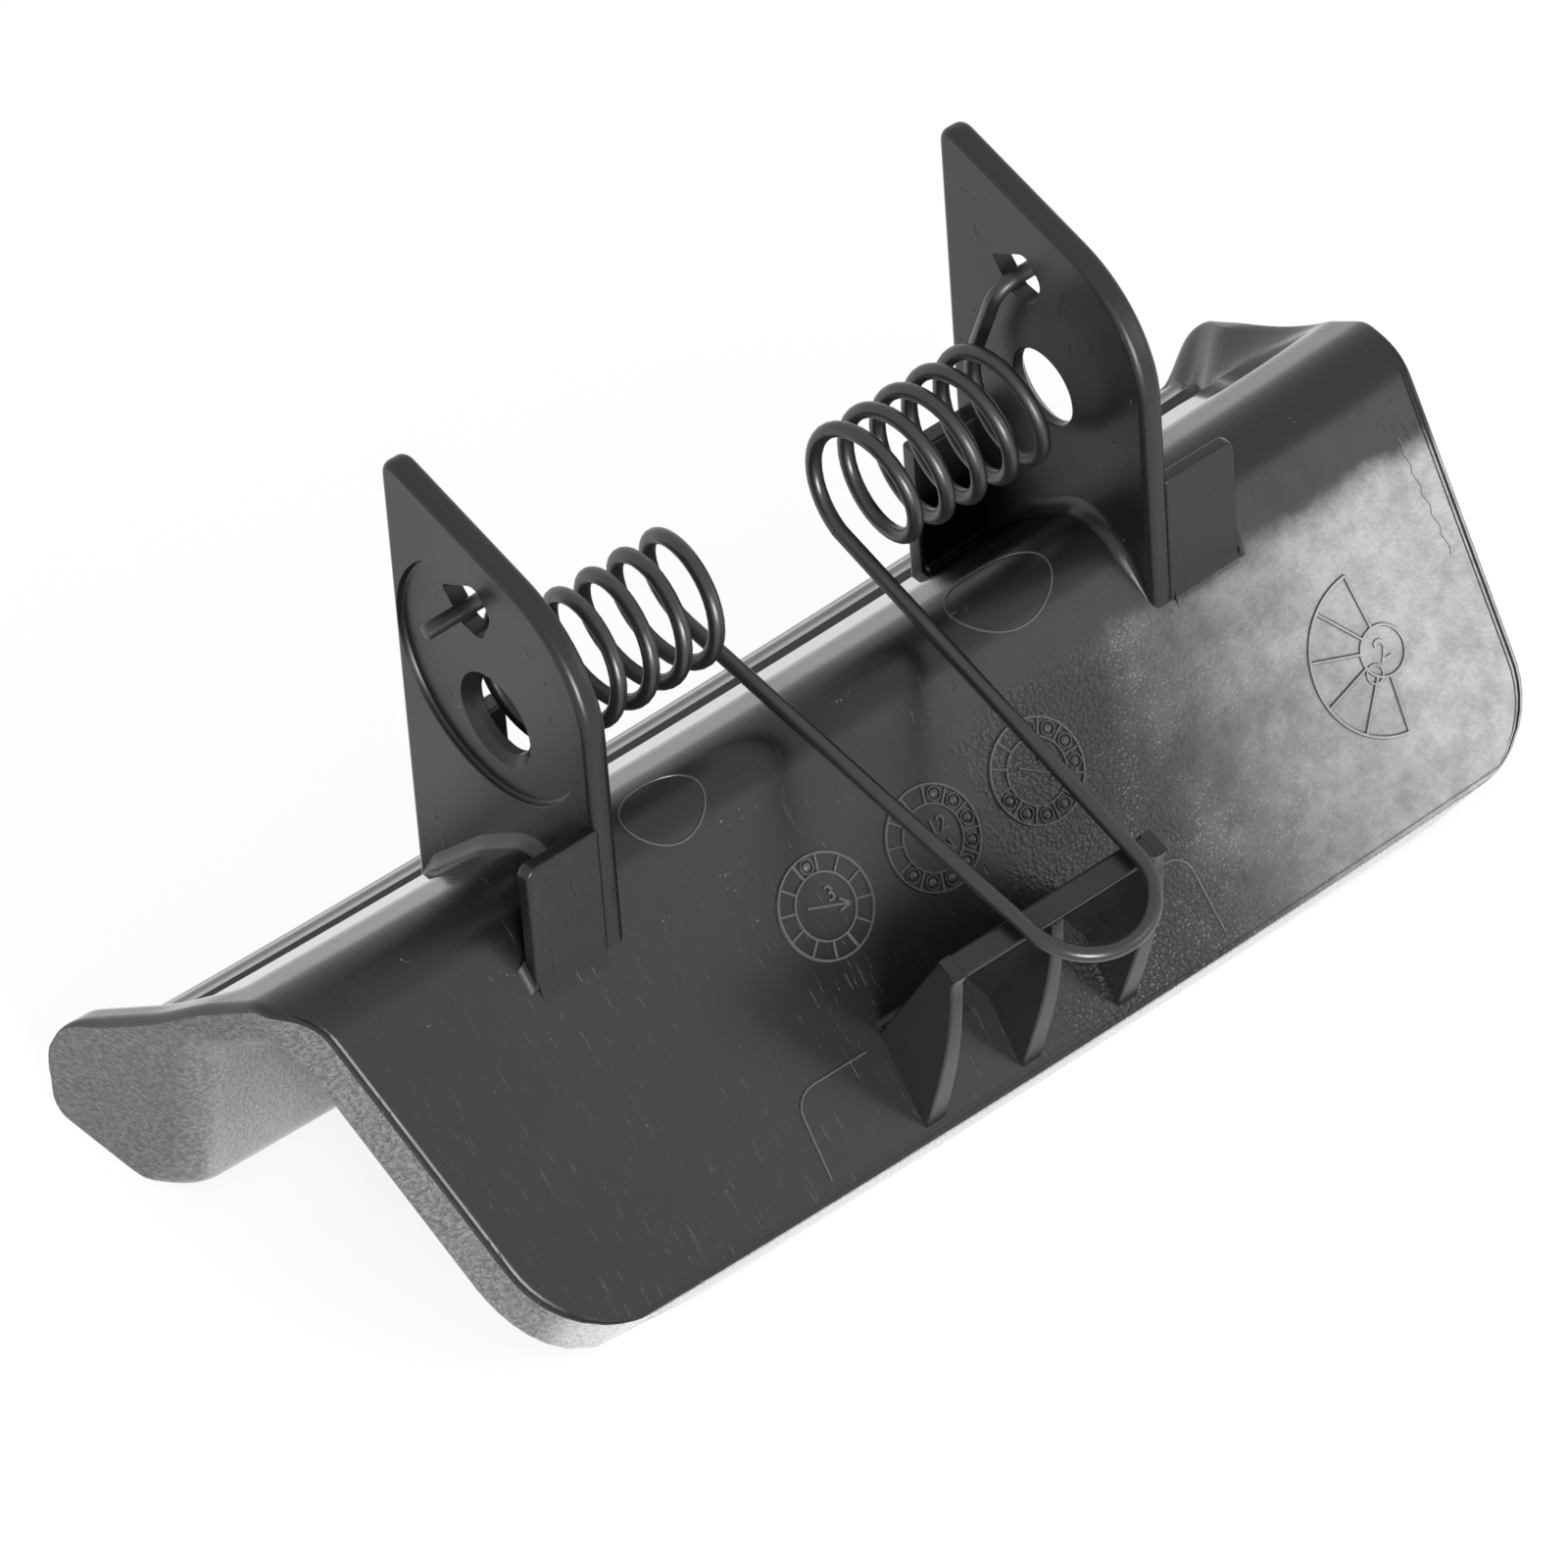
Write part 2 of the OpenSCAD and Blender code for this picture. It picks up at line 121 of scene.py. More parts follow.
class EarSizes(PropertyGroup):
    """Sizes of the ears, stops and flanges, in millimetres and degrees"""
    inner: length("Inner face", "Inner face of an ear from the middle", 22.25)
    wall: length("Wall", "Wall of an ear", 1.8)
    front: length("Front", "Front edge in front of the pivot axis", 10.1)
    back: length("Back", "Back edge behind the pivot axis", 9.3)
    tip: length("Tip", "Back tip above the pivot axis", 17.0)
    top_slope: angle("Top slope", "Slope of the top edge", 16.0)
    shoulder: length("Shoulder", "Rounding of the front shoulder", 9.5)
    tip_round: length("Tip round", "Rounding of the back tip", 1.3)
    bore: length("Bore", "Diameter of the pivot bore", 5.6)
    lead_in: length("Lead-in", "Extra radius of the bore's outer rim", 0.65)
    recess: length("Recess", "Radius of the round recess", 8.8)
    recess_up: length("Recess centre", "Recess centre above the pivot axis", 3.4)
    recess_depth: length("Recess depth", "Depth of the recess", 0.5)
    hole_back: length("Hole back", "Spring-end hole behind the pivot axis", 2.0)
    hole_up: length("Hole up", "Spring-end hole above the pivot axis", 8.2)
    stop_reach: length("Stop reach", "How far a stop rib stands out", 5.6)
    stop_wall: length("Stop wall", "Wall of a stop rib", 1.1)
    stop_drop: length("Stop drop", "Stop rib's top below the pivot axis", 2.6)
    flange_reach: length("Flange reach", "How far a back flange reaches inward", 5.0)
    flange_wall: length("Flange wall", "Wall of a back flange", 1.5)
    flange_drop: length("Flange drop", "Back flange's top below the pivot axis", 7.2)


class SpringSizes(PropertyGroup):
    """Sizes of the spring and its rest, in millimetres and degrees"""
    wire: length("Wire", "Wire diameter", 1.1)
    coil: length("Coil radius", "Mean radius of a coil", 4.2)
    pitch: length("Pitch", "Spacing of the turns", 2.7)
    start: length("Coil start", "First turn from the middle", 6.4)
    turns: IntProperty(name="Turns", description="Whole turns in a coil", default=5, min=1, max=9)
    back: length("Coil back", "Coil centre behind the pivot axis", 0.6)
    up: length("Coil up", "Coil centre above the pivot axis", 0.2)
    rest_gap: length("Rest gap", "Gap between the wire and the crest", 0.15)
    loop: length("Loop width", "Width of the loop between wire centres", 9.5)
    overhang: length("Loop overhang", "Bend centre beyond the crest", 0.4)
    shift: length("Loop shift", "Loop off the middle of the handle", 1.8)
    end_bend: length("End bend", "Bend radius at the spring's ends", 1.7)
    end_reach: length("End reach", "Spring end past the ear", 2.85)
    rest_width: length("Rest width", "Width of the rest plate", 18.0)
    rest_wall: length("Rest wall", "Wall of the rest plate", 1.8)
    rest_down: length("Rest down", "Rest plate's root down the panel", 22.5)
    rest_rise: length("Rest rise", "Height of the rest plate", 13.0)
    rest_lean: angle("Rest lean", "Lean of the rest plate", 31.7)


def shade(name, description, default):
    return FloatVectorProperty(name=name, description=description, default=default,
                               subtype="COLOR", size=3, min=0.0, max=1.0)


class FinishColours(PropertyGroup):
    """Colours of the finishes"""
    plastic: shade("Plastic", "Smooth moulded inner side", (0.008, 0.008, 0.0083))
    # The haze colour is a painted sheen: the pale tone of the panel's hazy right stretch stands in for the
    # lamp's reflection there.
    haze_and_painted_sheen: shade("Haze and painted sheen", "Etched hazy stretch of the inner side, painted pale as a sheen", (0.38, 0.383, 0.385))
    # The marks' pale colour is a painted highlight on the raised dials and lines.
    marks: shade("Marks", "Raised dials and lines, painted pale as if lit", (0.075, 0.075, 0.076))
    skin: shade("Skin", "Grained outer skin", (0.16, 0.161, 0.162))
    # The near face's pale colour is painted light, falling from the front and below.
    near_face: shade("Near face", "Skin of the near face, painted pale as if lit", (0.55, 0.55, 0.547))
    wire: shade("Wire", "Coated spring wire", (0.012, 0.012, 0.0125))
    floor: shade("Floor", "Pale floor", (0.9, 0.9, 0.9))


def sizes():
    scene = bpy.context.scene
    return scene.handle_shell, scene.handle_ears, scene.handle_spring


# --- Plane geometry; outlines are (y, z) vectors ---

def heading(degrees):
    return Vector((math.cos(math.radians(degrees)), math.sin(math.radians(degrees))))


def meet(p, u, q, v):
    """Where the line through p along u meets the line through q along v."""
    across = Vector((v.y, -v.x))
    return p + u * ((q - p).dot(across) / u.dot(across))


def corner_arc(before, corner, after, radius, steps):
    """Points of the arc that rounds a corner."""
    u, v = (before - corner).normalized(), (after - corner).normalized()
    half = u.angle(v) / 2
    centre = corner + (u + v).normalized() * (radius / math.sin(half))
    start = corner + u * (radius / math.tan(half)) - centre
    end = corner + v * (radius / math.tan(half)) - centre
    sweep = start.angle_signed(end)
    return [centre + Matrix.Rotation(-sweep * i / steps, 2) @ start for i in range(steps + 1)]


def rounded(corners, steps=8):
    """A closed outline from (place, radius) corners."""
    corners = [(Vector(place), radius) for place, radius in corners]
    points = []
    for i, (corner, radius) in enumerate(corners):
        if radius == 0:
            points.append(corner)
            continue
        before, after = corners[i - 1][0], corners[(i + 1) % len(corners)][0]
        points += corner_arc(before, corner, after, radius, steps)
    return points


class Section:
    """The shell's section at the middle of the handle, and places on it."""

    def __init__(self, s):
        self.s = s
        self.ridge = Vector((-s.ridge_forward, -s.ridge_drop))
        self.down_panel = heading(180 + s.panel_slope)
        self.into_panel = heading(s.panel_slope - 90)
        self.down_roof = heading(-s.roof_slope)
        self.into_roof = heading(-s.roof_slope - 90)
        self.base = -s.pivot_height
        slope = math.radians(s.panel_slope)
        height = s.pivot_height - s.ridge_drop - s.panel_wall * math.cos(slope)
        self.panel_length = height / math.sin(slope) + NEAR_REACH
        self.near_edge = self.ridge + self.down_panel * self.panel_length
        self.rim = meet(self.ridge, self.down_roof, Vector((s.bar_far, 0)), Vector((0, 1)))
        self.pocket_top = meet(self.ridge, self.down_roof, Vector((s.pocket_start, 0)), Vector((0, 1)))
        self.land_y = s.bar_far - s.land_depth
        self.rim_foot = self.rim.y - s.rim_round * math.tan(math.radians(45 - s.roof_slope / 2))
        self.points, self.inner = self.outline()

    def rise(self, x):
        """How far the bow lifts the section at x."""
        return self.s.bow_radius - math.sqrt(self.s.bow_radius ** 2 - x * x)

    def corner_foot(self, point, x, y, z):
        """Fills out the panel's underside towards the left near corner."""
        into = (point - self.near_edge).dot(self.into_panel) / self.s.panel_wall
        share = smooth(22.0, 34.0, abs(x)) * smooth(0.5, 1.0, into) * smooth(-26.0, -31.0, z)
        return y - FOOT_OUT * share, z - FOOT_DOWN * share

    def outline(self):
        """Points round the section, and for each stretch after a point, whether it is smooth."""
        s = self.s
        foot = self.base - self.rise(max(s.left_far, s.right_far))
        roof_under = self.ridge + self.into_roof * s.roof_wall
        panel_under = self.ridge + self.into_panel * s.panel_wall
        bar_top = meet(roof_under, self.down_roof, Vector((s.bar_near, self.base)), heading(90 + s.bar_lean))
        inner_ridge = meet(panel_under, self.down_panel, roof_under, self.down_roof)
        # corner, radius, arc steps, whether its arc is smooth, whether the run after it is smooth
        corners = [
            (self.near_edge, 0.22, 3, False, True),
            (self.ridge, s.ridge_round, 12, True, True),
            (self.rim, s.rim_round, 14, True, False),
            (Vector((s.bar_far, foot)), 1.6, 5, False, False),
            (Vector((s.bar_near, foot)), 6.2, 11, False, False),
            (bar_top, 1.8, 6, False, False),
            (inner_ridge, 2.6, 8, False, False),
            (self.near_edge + self.into_panel * s.panel_wall, 0.8, 4, False, False),
            (Vector((self.near_edge.x + NEAR_DRAFT, self.base)), 0.35, 4, False, False),
        ]
        points, inner = [], []
        for i, (corner, radius, steps, arc_smooth, run_smooth) in enumerate(corners):
            arc = corner_arc(corners[i - 1][0], corner, corners[(i + 1) % len(corners)][0], radius, steps)
            points += arc
            inner += [arc_smooth] * (len(arc) - 1) + [run_smooth]
        return self.refined(points, inner)

    def refined(self, points, inner, spacing=0.9):
        """Splits long stretches, with a few close points beside the near parting line."""
        fine, flags = [], []
        beads = [0.05, 0.12, 0.24, 0.36, 0.5, 0.66]
        first_run = inner.index(True)
        for i, point in enumerate(points):
            ahead = points[(i + 1) % len(points)]
            reach = (ahead - point).length
            cuts = max(1, math.ceil(reach / spacing))
            stops = [reach * k / cuts for k in range(cuts)]
            if i == first_run:
                stops = [0.0] + beads + [d for d in stops if d > beads[-1] + 0.2]
            fine += [point + (ahead - point) * (d / reach) for d in stops]
            flags += [inner[i]] * len(stops)
        return fine, flags

    def normals(self):
        count = len(self.points)
        result = []
        for i in range(count):
            along = self.points[(i + 1) % count] - self.points[i - 1]
            result.append(Vector((-along.y, along.x)).normalized())
        return result

    def half_at(self, point, side):
        """Length of the handle at a point of the section, from its middle to one end."""
        s = self.s
        far, ridge, near, corner = s.left_far, s.left_ridge, s.left_near, s.left_corner
        if side > 0:
            far, ridge, near, corner = s.right_far, s.right_ridge, s.right_near, s.right_corner
        behind = smooth(self.ridge.x - 1.0, self.ridge.x + 4.0, point.x)
        back = ridge + (far - ridge) * (point.x - self.ridge.x) / (s.bar_far - self.ridge.x)
        if side > 0:
            into = min(max(point.x - (s.bar_far - s.far_corner), 0.0), s.far_corner)
            back += math.sqrt(s.far_corner ** 2 - (0.93 * into) ** 2) - s.far_corner
        down = max((point - self.ridge).dot(self.down_panel), 0.0)
        whole = self.panel_length
        taper = (ridge - near) / whole
        lean = math.sqrt(1 + taper * taper)
        centre_down = whole - corner
        front = ridge - taper * down
        if down > centre_down + corner * taper / lean:
            centre_x = ridge - taper * centre_down - corner * lean
            front = centre_x + math.sqrt(max(corner ** 2 - (down - centre_down) ** 2, 0.0))
        return front + (back - front) * behind

    def pocket_floor(self, y):
        """Height of the pocket's floor and land at y."""
        slope = math.tan(math.radians(self.s.pocket_slope))
        if y < self.land_y:
            down = y - self.s.pocket_start
            whole = self.land_y - self.s.pocket_start
            crown = min(down / CROWN_REACH, (whole - down) / (whole - CROWN_REACH))
            return self.pocket_top.y - slope * down + CROWN_RISE * crown
        edge = self.pocket_top.y - slope * (self.land_y - self.s.pocket_start)
        land = edge - math.tan(math.radians(self.s.land_slope)) * (y - self.land_y)
        into = min(max(y - (self.s.bar_far - RIM_EDGE), 0.0), RIM_EDGE) / RIM_EDGE
        rounded_land = land - RIM_DROP * (1.0 - math.sqrt(1.0 - into * into))
        return max(rounded_land, self.rim_foot + 0.8 * (self.s.bar_far - y))

    def pocketed(self, x, y, z):
        """Height of the inner side at x and y once the end walls' tops dip and the pocket is scooped out."""
        if y < self.s.pocket_start:
            return z
        if x > 0:
            reach = self.s.right_far - self.s.pocket_wall + 1.2 * smooth(13.5, 17.5, y)
            z -= RIGHT_DIP * math.exp(-((y - 8.0) / 4.2) ** 2)
        else:
            reach = self.s.left_far - self.s.pocket_wall
            z -= LEFT_DIP * smooth(2.0, 9.0, y) * smooth(20.05, 19.2, y)
        inside = smooth(reach + 0.6, reach - 1.2, abs(x))
        return z + (min(z, self.pocket_floor(y)) - z) * inside

    def top(self, x, y):
        """The point of the inner side above x and y."""
        best = self.ridge.y
        for i, smooth_run in enumerate(self.inner):
            a, b = self.points[i], self.points[(i + 1) % len(self.points)]
            if smooth_run and a.x <= y <= b.x and b.x > a.x:
                best = a.y + (b.y - a.y) * (y - a.x) / (b.x - a.x)
                break
        return Vector((x, y, self.pocketed(x, y, best) + self.rise(x)))

    def top_normal(self, x, y, step=0.05):
        across = self.top(x + step, y) - self.top(x - step, y)
        along = self.top(x, y + step) - self.top(x, y - step)
        return across.cross(along).normalized()

    def panel_y(self, down):
        """The y of a place so far down the front panel from the ridge's sharp corner."""
        return self.ridge.x + self.down_panel.x * down


def smooth(low, high, value):
    """0 at low and 1 at high, eased at both ends."""
    t = min(max((value - low) / (high - low), 0.0), 1.0)
    return t * t * (3 - 2 * t)


# --- Mesh helpers ---

def grid_shape(bm, columns, rows, place):
    """A grid bent into shape: place(column, row) gives each vertex. Returns its faces with their cell."""
    made = bmesh.ops.create_grid(bm, x_segments=columns, y_segments=rows, size=1.0)
    faces = {f for v in made["verts"] for f in v.link_faces}
    cells = {f: (int((f.calc_center_median().x + 1) / 2 * columns),
                 int((f.calc_center_median().y + 1) / 2 * rows)) for f in faces}
    for v in made["verts"]:
        v.co = place(round((v.co.x + 1) / 2 * columns), round((v.co.y + 1) / 2 * rows))
    return cells


def loft(rings):
    """A closed skin over closed rings of points, with flat ends."""
    bm = bmesh.new()
    rows = len(rings[0])
    grid_shape(bm, len(rings) - 1, rows, lambda i, j: rings[i][j % rows])
    bmesh.ops.remove_doubles(bm, verts=bm.verts, dist=1e-5)
    bmesh.ops.holes_fill(bm, edges=[e for e in bm.edges if e.is_boundary], sides=0)
    bmesh.ops.recalc_face_normals(bm, faces=bm.faces)
    return bm


def prism(outline, x0, x1):
    """A solid with an outline in (y, z), from x0 to x1."""
    bm = bmesh.new()
    face = bm.faces.new([bm.verts.new((x0, p.x, p.y)) for p in outline])
    raised = bmesh.ops.extrude_face_region(bm, geom=[face])
    moved = [v for v in raised["geom"] if isinstance(v, bmesh.types.BMVert)]
    bmesh.ops.translate(bm, verts=moved, vec=(x1 - x0, 0, 0))
    bmesh.ops.recalc_face_normals(bm, faces=bm.faces)
    return bm


def block(low, high):
    bm = bmesh.new()
    bmesh.ops.create_cube(bm, size=1.0)
    low, high = Vector(low), Vector(high)
    bmesh.ops.scale(bm, vec=high - low, verts=bm.verts)
    bmesh.ops.translate(bm, vec=(low + high) / 2, verts=bm.verts)
    return bm


def round_edges(bm, edges, width, segments):
    bmesh.ops.bevel(bm, geom=edges, offset=width, offset_type="OFFSET", segments=segments,
                    profile=0.5, affect="EDGES", clamp_overlap=True, material=-1)
    return bm


def soften(bm, width, segments=3, keep=lambda edge: True):
    """Rounds the sharp edges that keep picks."""
    edges = [e for e in bm.edges if e.is_manifold and e.calc_face_angle() > 0.6 and keep(e)]
    return round_edges(bm, edges, width, segments)


def lathe(profile, y, z, steps=72):
    """A solid turned about the line along X through (y, z), from (x, radius) points."""
    bm = bmesh.new()
    verts = [bm.verts.new((x, y + r, z)) for x, r in profile]
    edges = [bm.edges.new(pair) for pair in zip(verts, verts[1:])]
    bmesh.ops.spin(bm, geom=verts + edges, cent=(0, y, z), axis=(1, 0, 0), angle=2 * math.pi,
                   steps=steps, use_merge=True)
    bmesh.ops.remove_doubles(bm, verts=bm.verts, dist=1e-4)
    bmesh.ops.recalc_face_normals(bm, faces=bm.faces)
    return bm


def mirrored(bm):
    """The same shape at the other end of the handle."""
    copy = bm.copy()
    bmesh.ops.scale(copy, vec=(-1, 1, 1), verts=copy.verts)
    bmesh.ops.reverse_faces(copy, faces=copy.faces)
    return copy


def new_mesh(name, bm):
    """A mesh from a bmesh, which is used up."""
    mesh = bpy.data.meshes.new(name)
    bm.to_mesh(mesh)
    bm.free()
    return mesh


def new_object(name, data):
    obj = bpy.data.objects.new(name, data)
    bpy.context.scene.collection.objects.link(obj)
    return obj


def evaluated_shape(obj):
    """A bmesh of an object as it comes out of its modifiers, or of a text."""
    evaluated = obj.evaluated_get(bpy.context.evaluated_depsgraph_get())
    bm = bmesh.new()
    bm.from_mesh(evaluated.to_mesh())
    evaluated.to_mesh_clear()
    return bm


def gathered(parts):
    """Several shapes in one bmesh."""
    whole = bmesh.new()
    for part in parts:
        mesh = new_mesh("part", part)
        whole.from_mesh(mesh)
        bpy.data.meshes.remove(mesh)
    return whole


def place_object(name, bm, materials, sharp=35.0):
    """An object in metres from a bmesh in millimetres."""
    bmesh.ops.scale(bm, vec=(MM, MM, MM), verts=bm.verts)
    mesh = new_mesh(name, bm)
    mesh.shade_smooth()
    mesh.set_sharp_from_angle(angle=math.radians(sharp))
    for material in materials:
        mesh.materials.append(material)
    return new_object(name, mesh)


def carved(bm, cutters):
    """bm with every cutter's volume taken away."""
    body = new_object("carving", new_mesh("carving", bm))
    tools = [new_object("cutter", new_mesh("cutter", cutter)) for cutter in cutters]
    for tool in tools:
        modifier = body.modifiers.new("cut", "BOOLEAN")
        modifier.operation = "DIFFERENCE"
        modifier.solver = "EXACT"
        modifier.object = tool
    result = evaluated_shape(body)
    for obj in tools + [body]:
        data = obj.data
        bpy.data.objects.remove(obj)
        bpy.data.meshes.remove(data)
    return result


def fillet(path, first, second, widest, steps=5, taper=0):
    """A concave fillet along path, between two directions away from it, fading over its ends."""
    rings = []
    for i, point in enumerate(path):
        a, b = first[i], second[i]
        fade = min(1.0, (min(i, len(path) - 1 - i) + 0.4) / (taper + 0.4))
        radius = widest * fade
        ring = []
        for k in range(steps + 1):
            turn = math.radians(90 * k / steps)
            ring.append(point + a * radius * (1 - math.sin(turn)) + b * radius * (1 - math.cos(turn)))
        ring.append(point - (a + b) * 0.25)
        rings.append(ring)
    return loft(rings)


# --- Materials ---

def new_group(name, inputs, outputs):
    """A shader node group of number sockets, from (name, default) inputs and output names."""
    group = bpy.data.node_groups.new(name, "ShaderNodeTree")
    for label, default in inputs:
        socket = group.interface.new_socket(label, in_out="INPUT", socket_type="NodeSocketFloat")
        socket.default_value = default
    for label in outputs:
        group.interface.new_socket(label, in_out="OUTPUT", socket_type="NodeSocketFloat")
    given, result = group.nodes.new("NodeGroupInput"), group.nodes.new("NodeGroupOutput")
    return group, given.outputs, result.inputs


def put(tree, value, socket):
    """Links a socket, or sets its value."""
    if isinstance(value, bpy.types.NodeSocket):
        tree.links.new(value, socket)
    else:
        socket.default_value = value


def node(tree, kind, **settings):
    """A node with its plain settings, and its named inputs linked or set."""
    made = tree.nodes.new(kind)
    for key, value in settings.items():
        if hasattr(made, key):
            setattr(made, key, value)
        else:
            put(tree, value, made.inputs[key.replace("_", " ")])
    return made


def mapped(tree, scale=(1, 1, 1), rotation=(0, 0, 0), kind="POINT"):
    """Object coordinates, scaled and turned, or with TEXTURE, a pattern stretched along a turned axis."""
    place = node(tree, "ShaderNodeTexCoord").outputs["Object"]
    made = node(tree, "ShaderNodeMapping", vector_type=kind, Vector=place, Scale=scale, Rotation=rotation)
    return made.outputs["Vector"]


def noise(tree, place, **settings):
    return node(tree, "ShaderNodeTexNoise", Vector=place, **settings).outputs["Fac"]


def cells(tree, place, size, **settings):
    """Distance from the nearest of scattered cell centres."""
    made = node(tree, "ShaderNodeTexVoronoi", feature="F1", Vector=place, Scale=size, **settings)
    return made.outputs["Distance"]


def reckon(tree, operation, first, *others, clamp=False):
    """Numbers put together one after the other by an operation."""
    for other in others:
        made = node(tree, "ShaderNodeMath", operation=operation, use_clamp=clamp)
        put(tree, first, made.inputs[0])
        put(tree, other, made.inputs[1])
        first = made.outputs[0]
    return first


def product(tree, *factors):
    return reckon(tree, "MULTIPLY", *factors)


def ramp(tree, value, low, high, from_value=0.0, to_value=1.0):
    """A value eased from one level to another between low and high."""
    made = node(tree, "ShaderNodeMapRange", interpolation_type="SMOOTHSTEP", Value=value,
                From_Min=low, From_Max=high, To_Min=from_value, To_Max=to_value)
    return made.outputs["Result"]


def mixed(tree, share, first, second):
    """A colour between two; a colour is a socket or three numbers."""
    made = node(tree, "ShaderNodeMix", data_type="RGBA", Factor=share)
    for name, colour in (("A", first), ("B", second)):
        put(tree, colour if isinstance(colour, bpy.types.NodeSocket) else (*colour, 1.0), made.inputs[name])
    return made.outputs["Result"]


def dot(tree, vector, axis):
    """How far a vector reaches along an axis."""
    made = node(tree, "ShaderNodeVectorMath", operation="DOT_PRODUCT")
    put(tree, vector, made.inputs[0])
    put(tree, axis, made.inputs[1])
    return made.outputs["Value"]


def along_axis(tree, axis, start=0.0):
    """How far a place lies along an axis, in metres from a start."""
    place = node(tree, "ShaderNodeTexCoord").outputs["Object"]
    return reckon(tree, "SUBTRACT", dot(tree, place, axis), start)


def turned_to(tree, axis, normal="Normal"):
    """How squarely a face looks along an axis."""
    return dot(tree, node(tree, "ShaderNodeNewGeometry").outputs[normal], axis)


def glancing(tree, start, least):
    """1 where a face is seen squarely, falling to a least value where it is seen at a glancing angle."""
    facing = node(tree, "ShaderNodeLayerWeight", Blend=0.5).outputs["Facing"]
    return ramp(tree, facing, start, 0.95, 1.0, least)


def moulding_wear_group():
    """Specks, fine scratches and uneven gloss of a moulded or handled black surface."""
    group, given, result = new_group(
        "Moulding wear", [("Speck size", 2600.0), ("Scratch size", 260.0)],
        ("Specks", "Scratches", "Clouds", "Nicks"))
    plain = mapped(group)
    rare = noise(group, plain, Scale=420.0, Detail=2.0)
    dots = cells(group, plain, given["Speck size"])
    put(group, product(group, ramp(group, dots, 0.28, 0.12), ramp(group, rare, 0.66, 0.76)), result["Specks"])
    lines = noise(group, mapped(group, (1.0, 0.12, 0.12), (0.3, 0.2, 0.5)), Detail=3.0, Roughness=0.6,
                  Distortion=0.8, Scale=product(group, given["Scratch size"], 14.0))
    put(group, ramp(group, lines, 0.62, 0.74), result["Scratches"])
    clouds = noise(group, plain, Scale=70.0, Detail=4.0, Roughness=0.62, Distortion=0.6)
    put(group, clouds, result["Clouds"])
    nicks = cells(group, mapped(group, (1.0, 0.3, 0.3), (0.9, 0.3, 0.7)), 520.0, Randomness=1.0)
    put(group, ramp(group, nicks, 0.07, 0.03), result["Nicks"])
    return group


def hazed_face_and_sheen_group():
    """The etched right-hand stretch of the front panel: its haze, which carries a painted sheen that grows
    towards the right end, its stipple, and painted glints on the stipple.
    """
    group, given, result = new_group(
        "Hazed face and painted sheen", [("Grain size", 3400.0)], ("Haze and painted sheen", "Stipple", "Painted glints"))
    section = Section(sizes()[0])
    down_axis = (0.0, section.down_panel.x, section.down_panel.y)
    down = along_axis(group, down_axis, section.ridge.dot(section.down_panel) * MM)
    plain = mapped(group)
    ragged = noise(group, plain, Scale=170.0, Detail=5.0, Roughness=0.65)
    drift = reckon(group, "SUBTRACT", ragged, 0.5)
    edge = reckon(group, "ADD", down, product(group, drift, 0.003))
    flat = turned_to(group, (0.0, -section.into_panel.x, -section.into_panel.y), "True Normal")
    below = product(group, ramp(group, edge, 0.0062, 0.0086), ramp(group, flat, 0.9, 0.99))
    place = reckon(group, "ADD", along_axis(group, (1.0, 0.0, 0.0)), product(group, drift, 0.014))
    blotches = noise(group, plain, Scale=480.0, Detail=7.0, Roughness=0.75)
    # Painted sheen mask: the hazy stretch, rising towards the right end, in ragged blotches.
    haze_and_painted_sheen = product(group, below, ramp(group, place, 0.013, 0.042),
                   ramp(group, blotches, 0.3, 0.68, 0.62, 1.0))
    put(group, haze_and_painted_sheen, result["Haze and painted sheen"])
    grains = cells(group, plain, given["Grain size"])
    stippled = product(group, below, ramp(group, place, 0.001, 0.011))
    put(group, product(group, grains, stippled), result["Stipple"])
    patchy = ramp(group, ragged, 0.36, 0.6)
    # Painted glints: pale dots on the stipple's cells, standing in for highlights.
    put(group, product(group, ramp(group, grains, 0.34, 0.12), stippled, patchy), result["Painted glints"])
    return group


def new_material(name, colour, roughness, ior=1.5):
    """A plain material, with its node tree and its shader's inputs."""
    material = bpy.data.materials.new(name)
    material.use_nodes = True
    shader = material.node_tree.nodes["Principled BSDF"]
    shader.inputs["Base Color"].default_value = (*colour, 1.0)
    shader.inputs["Roughness"].default_value = roughness
    shader.inputs["IOR"].default_value = ior
    return material, material.node_tree, shader.inputs


def bump(tree, shader, height, distance, strength):
    made = node(tree, "ShaderNodeBump", Strength=strength, Distance=distance, Height=height)
    put(tree, made.outputs["Normal"], shader["Normal"])


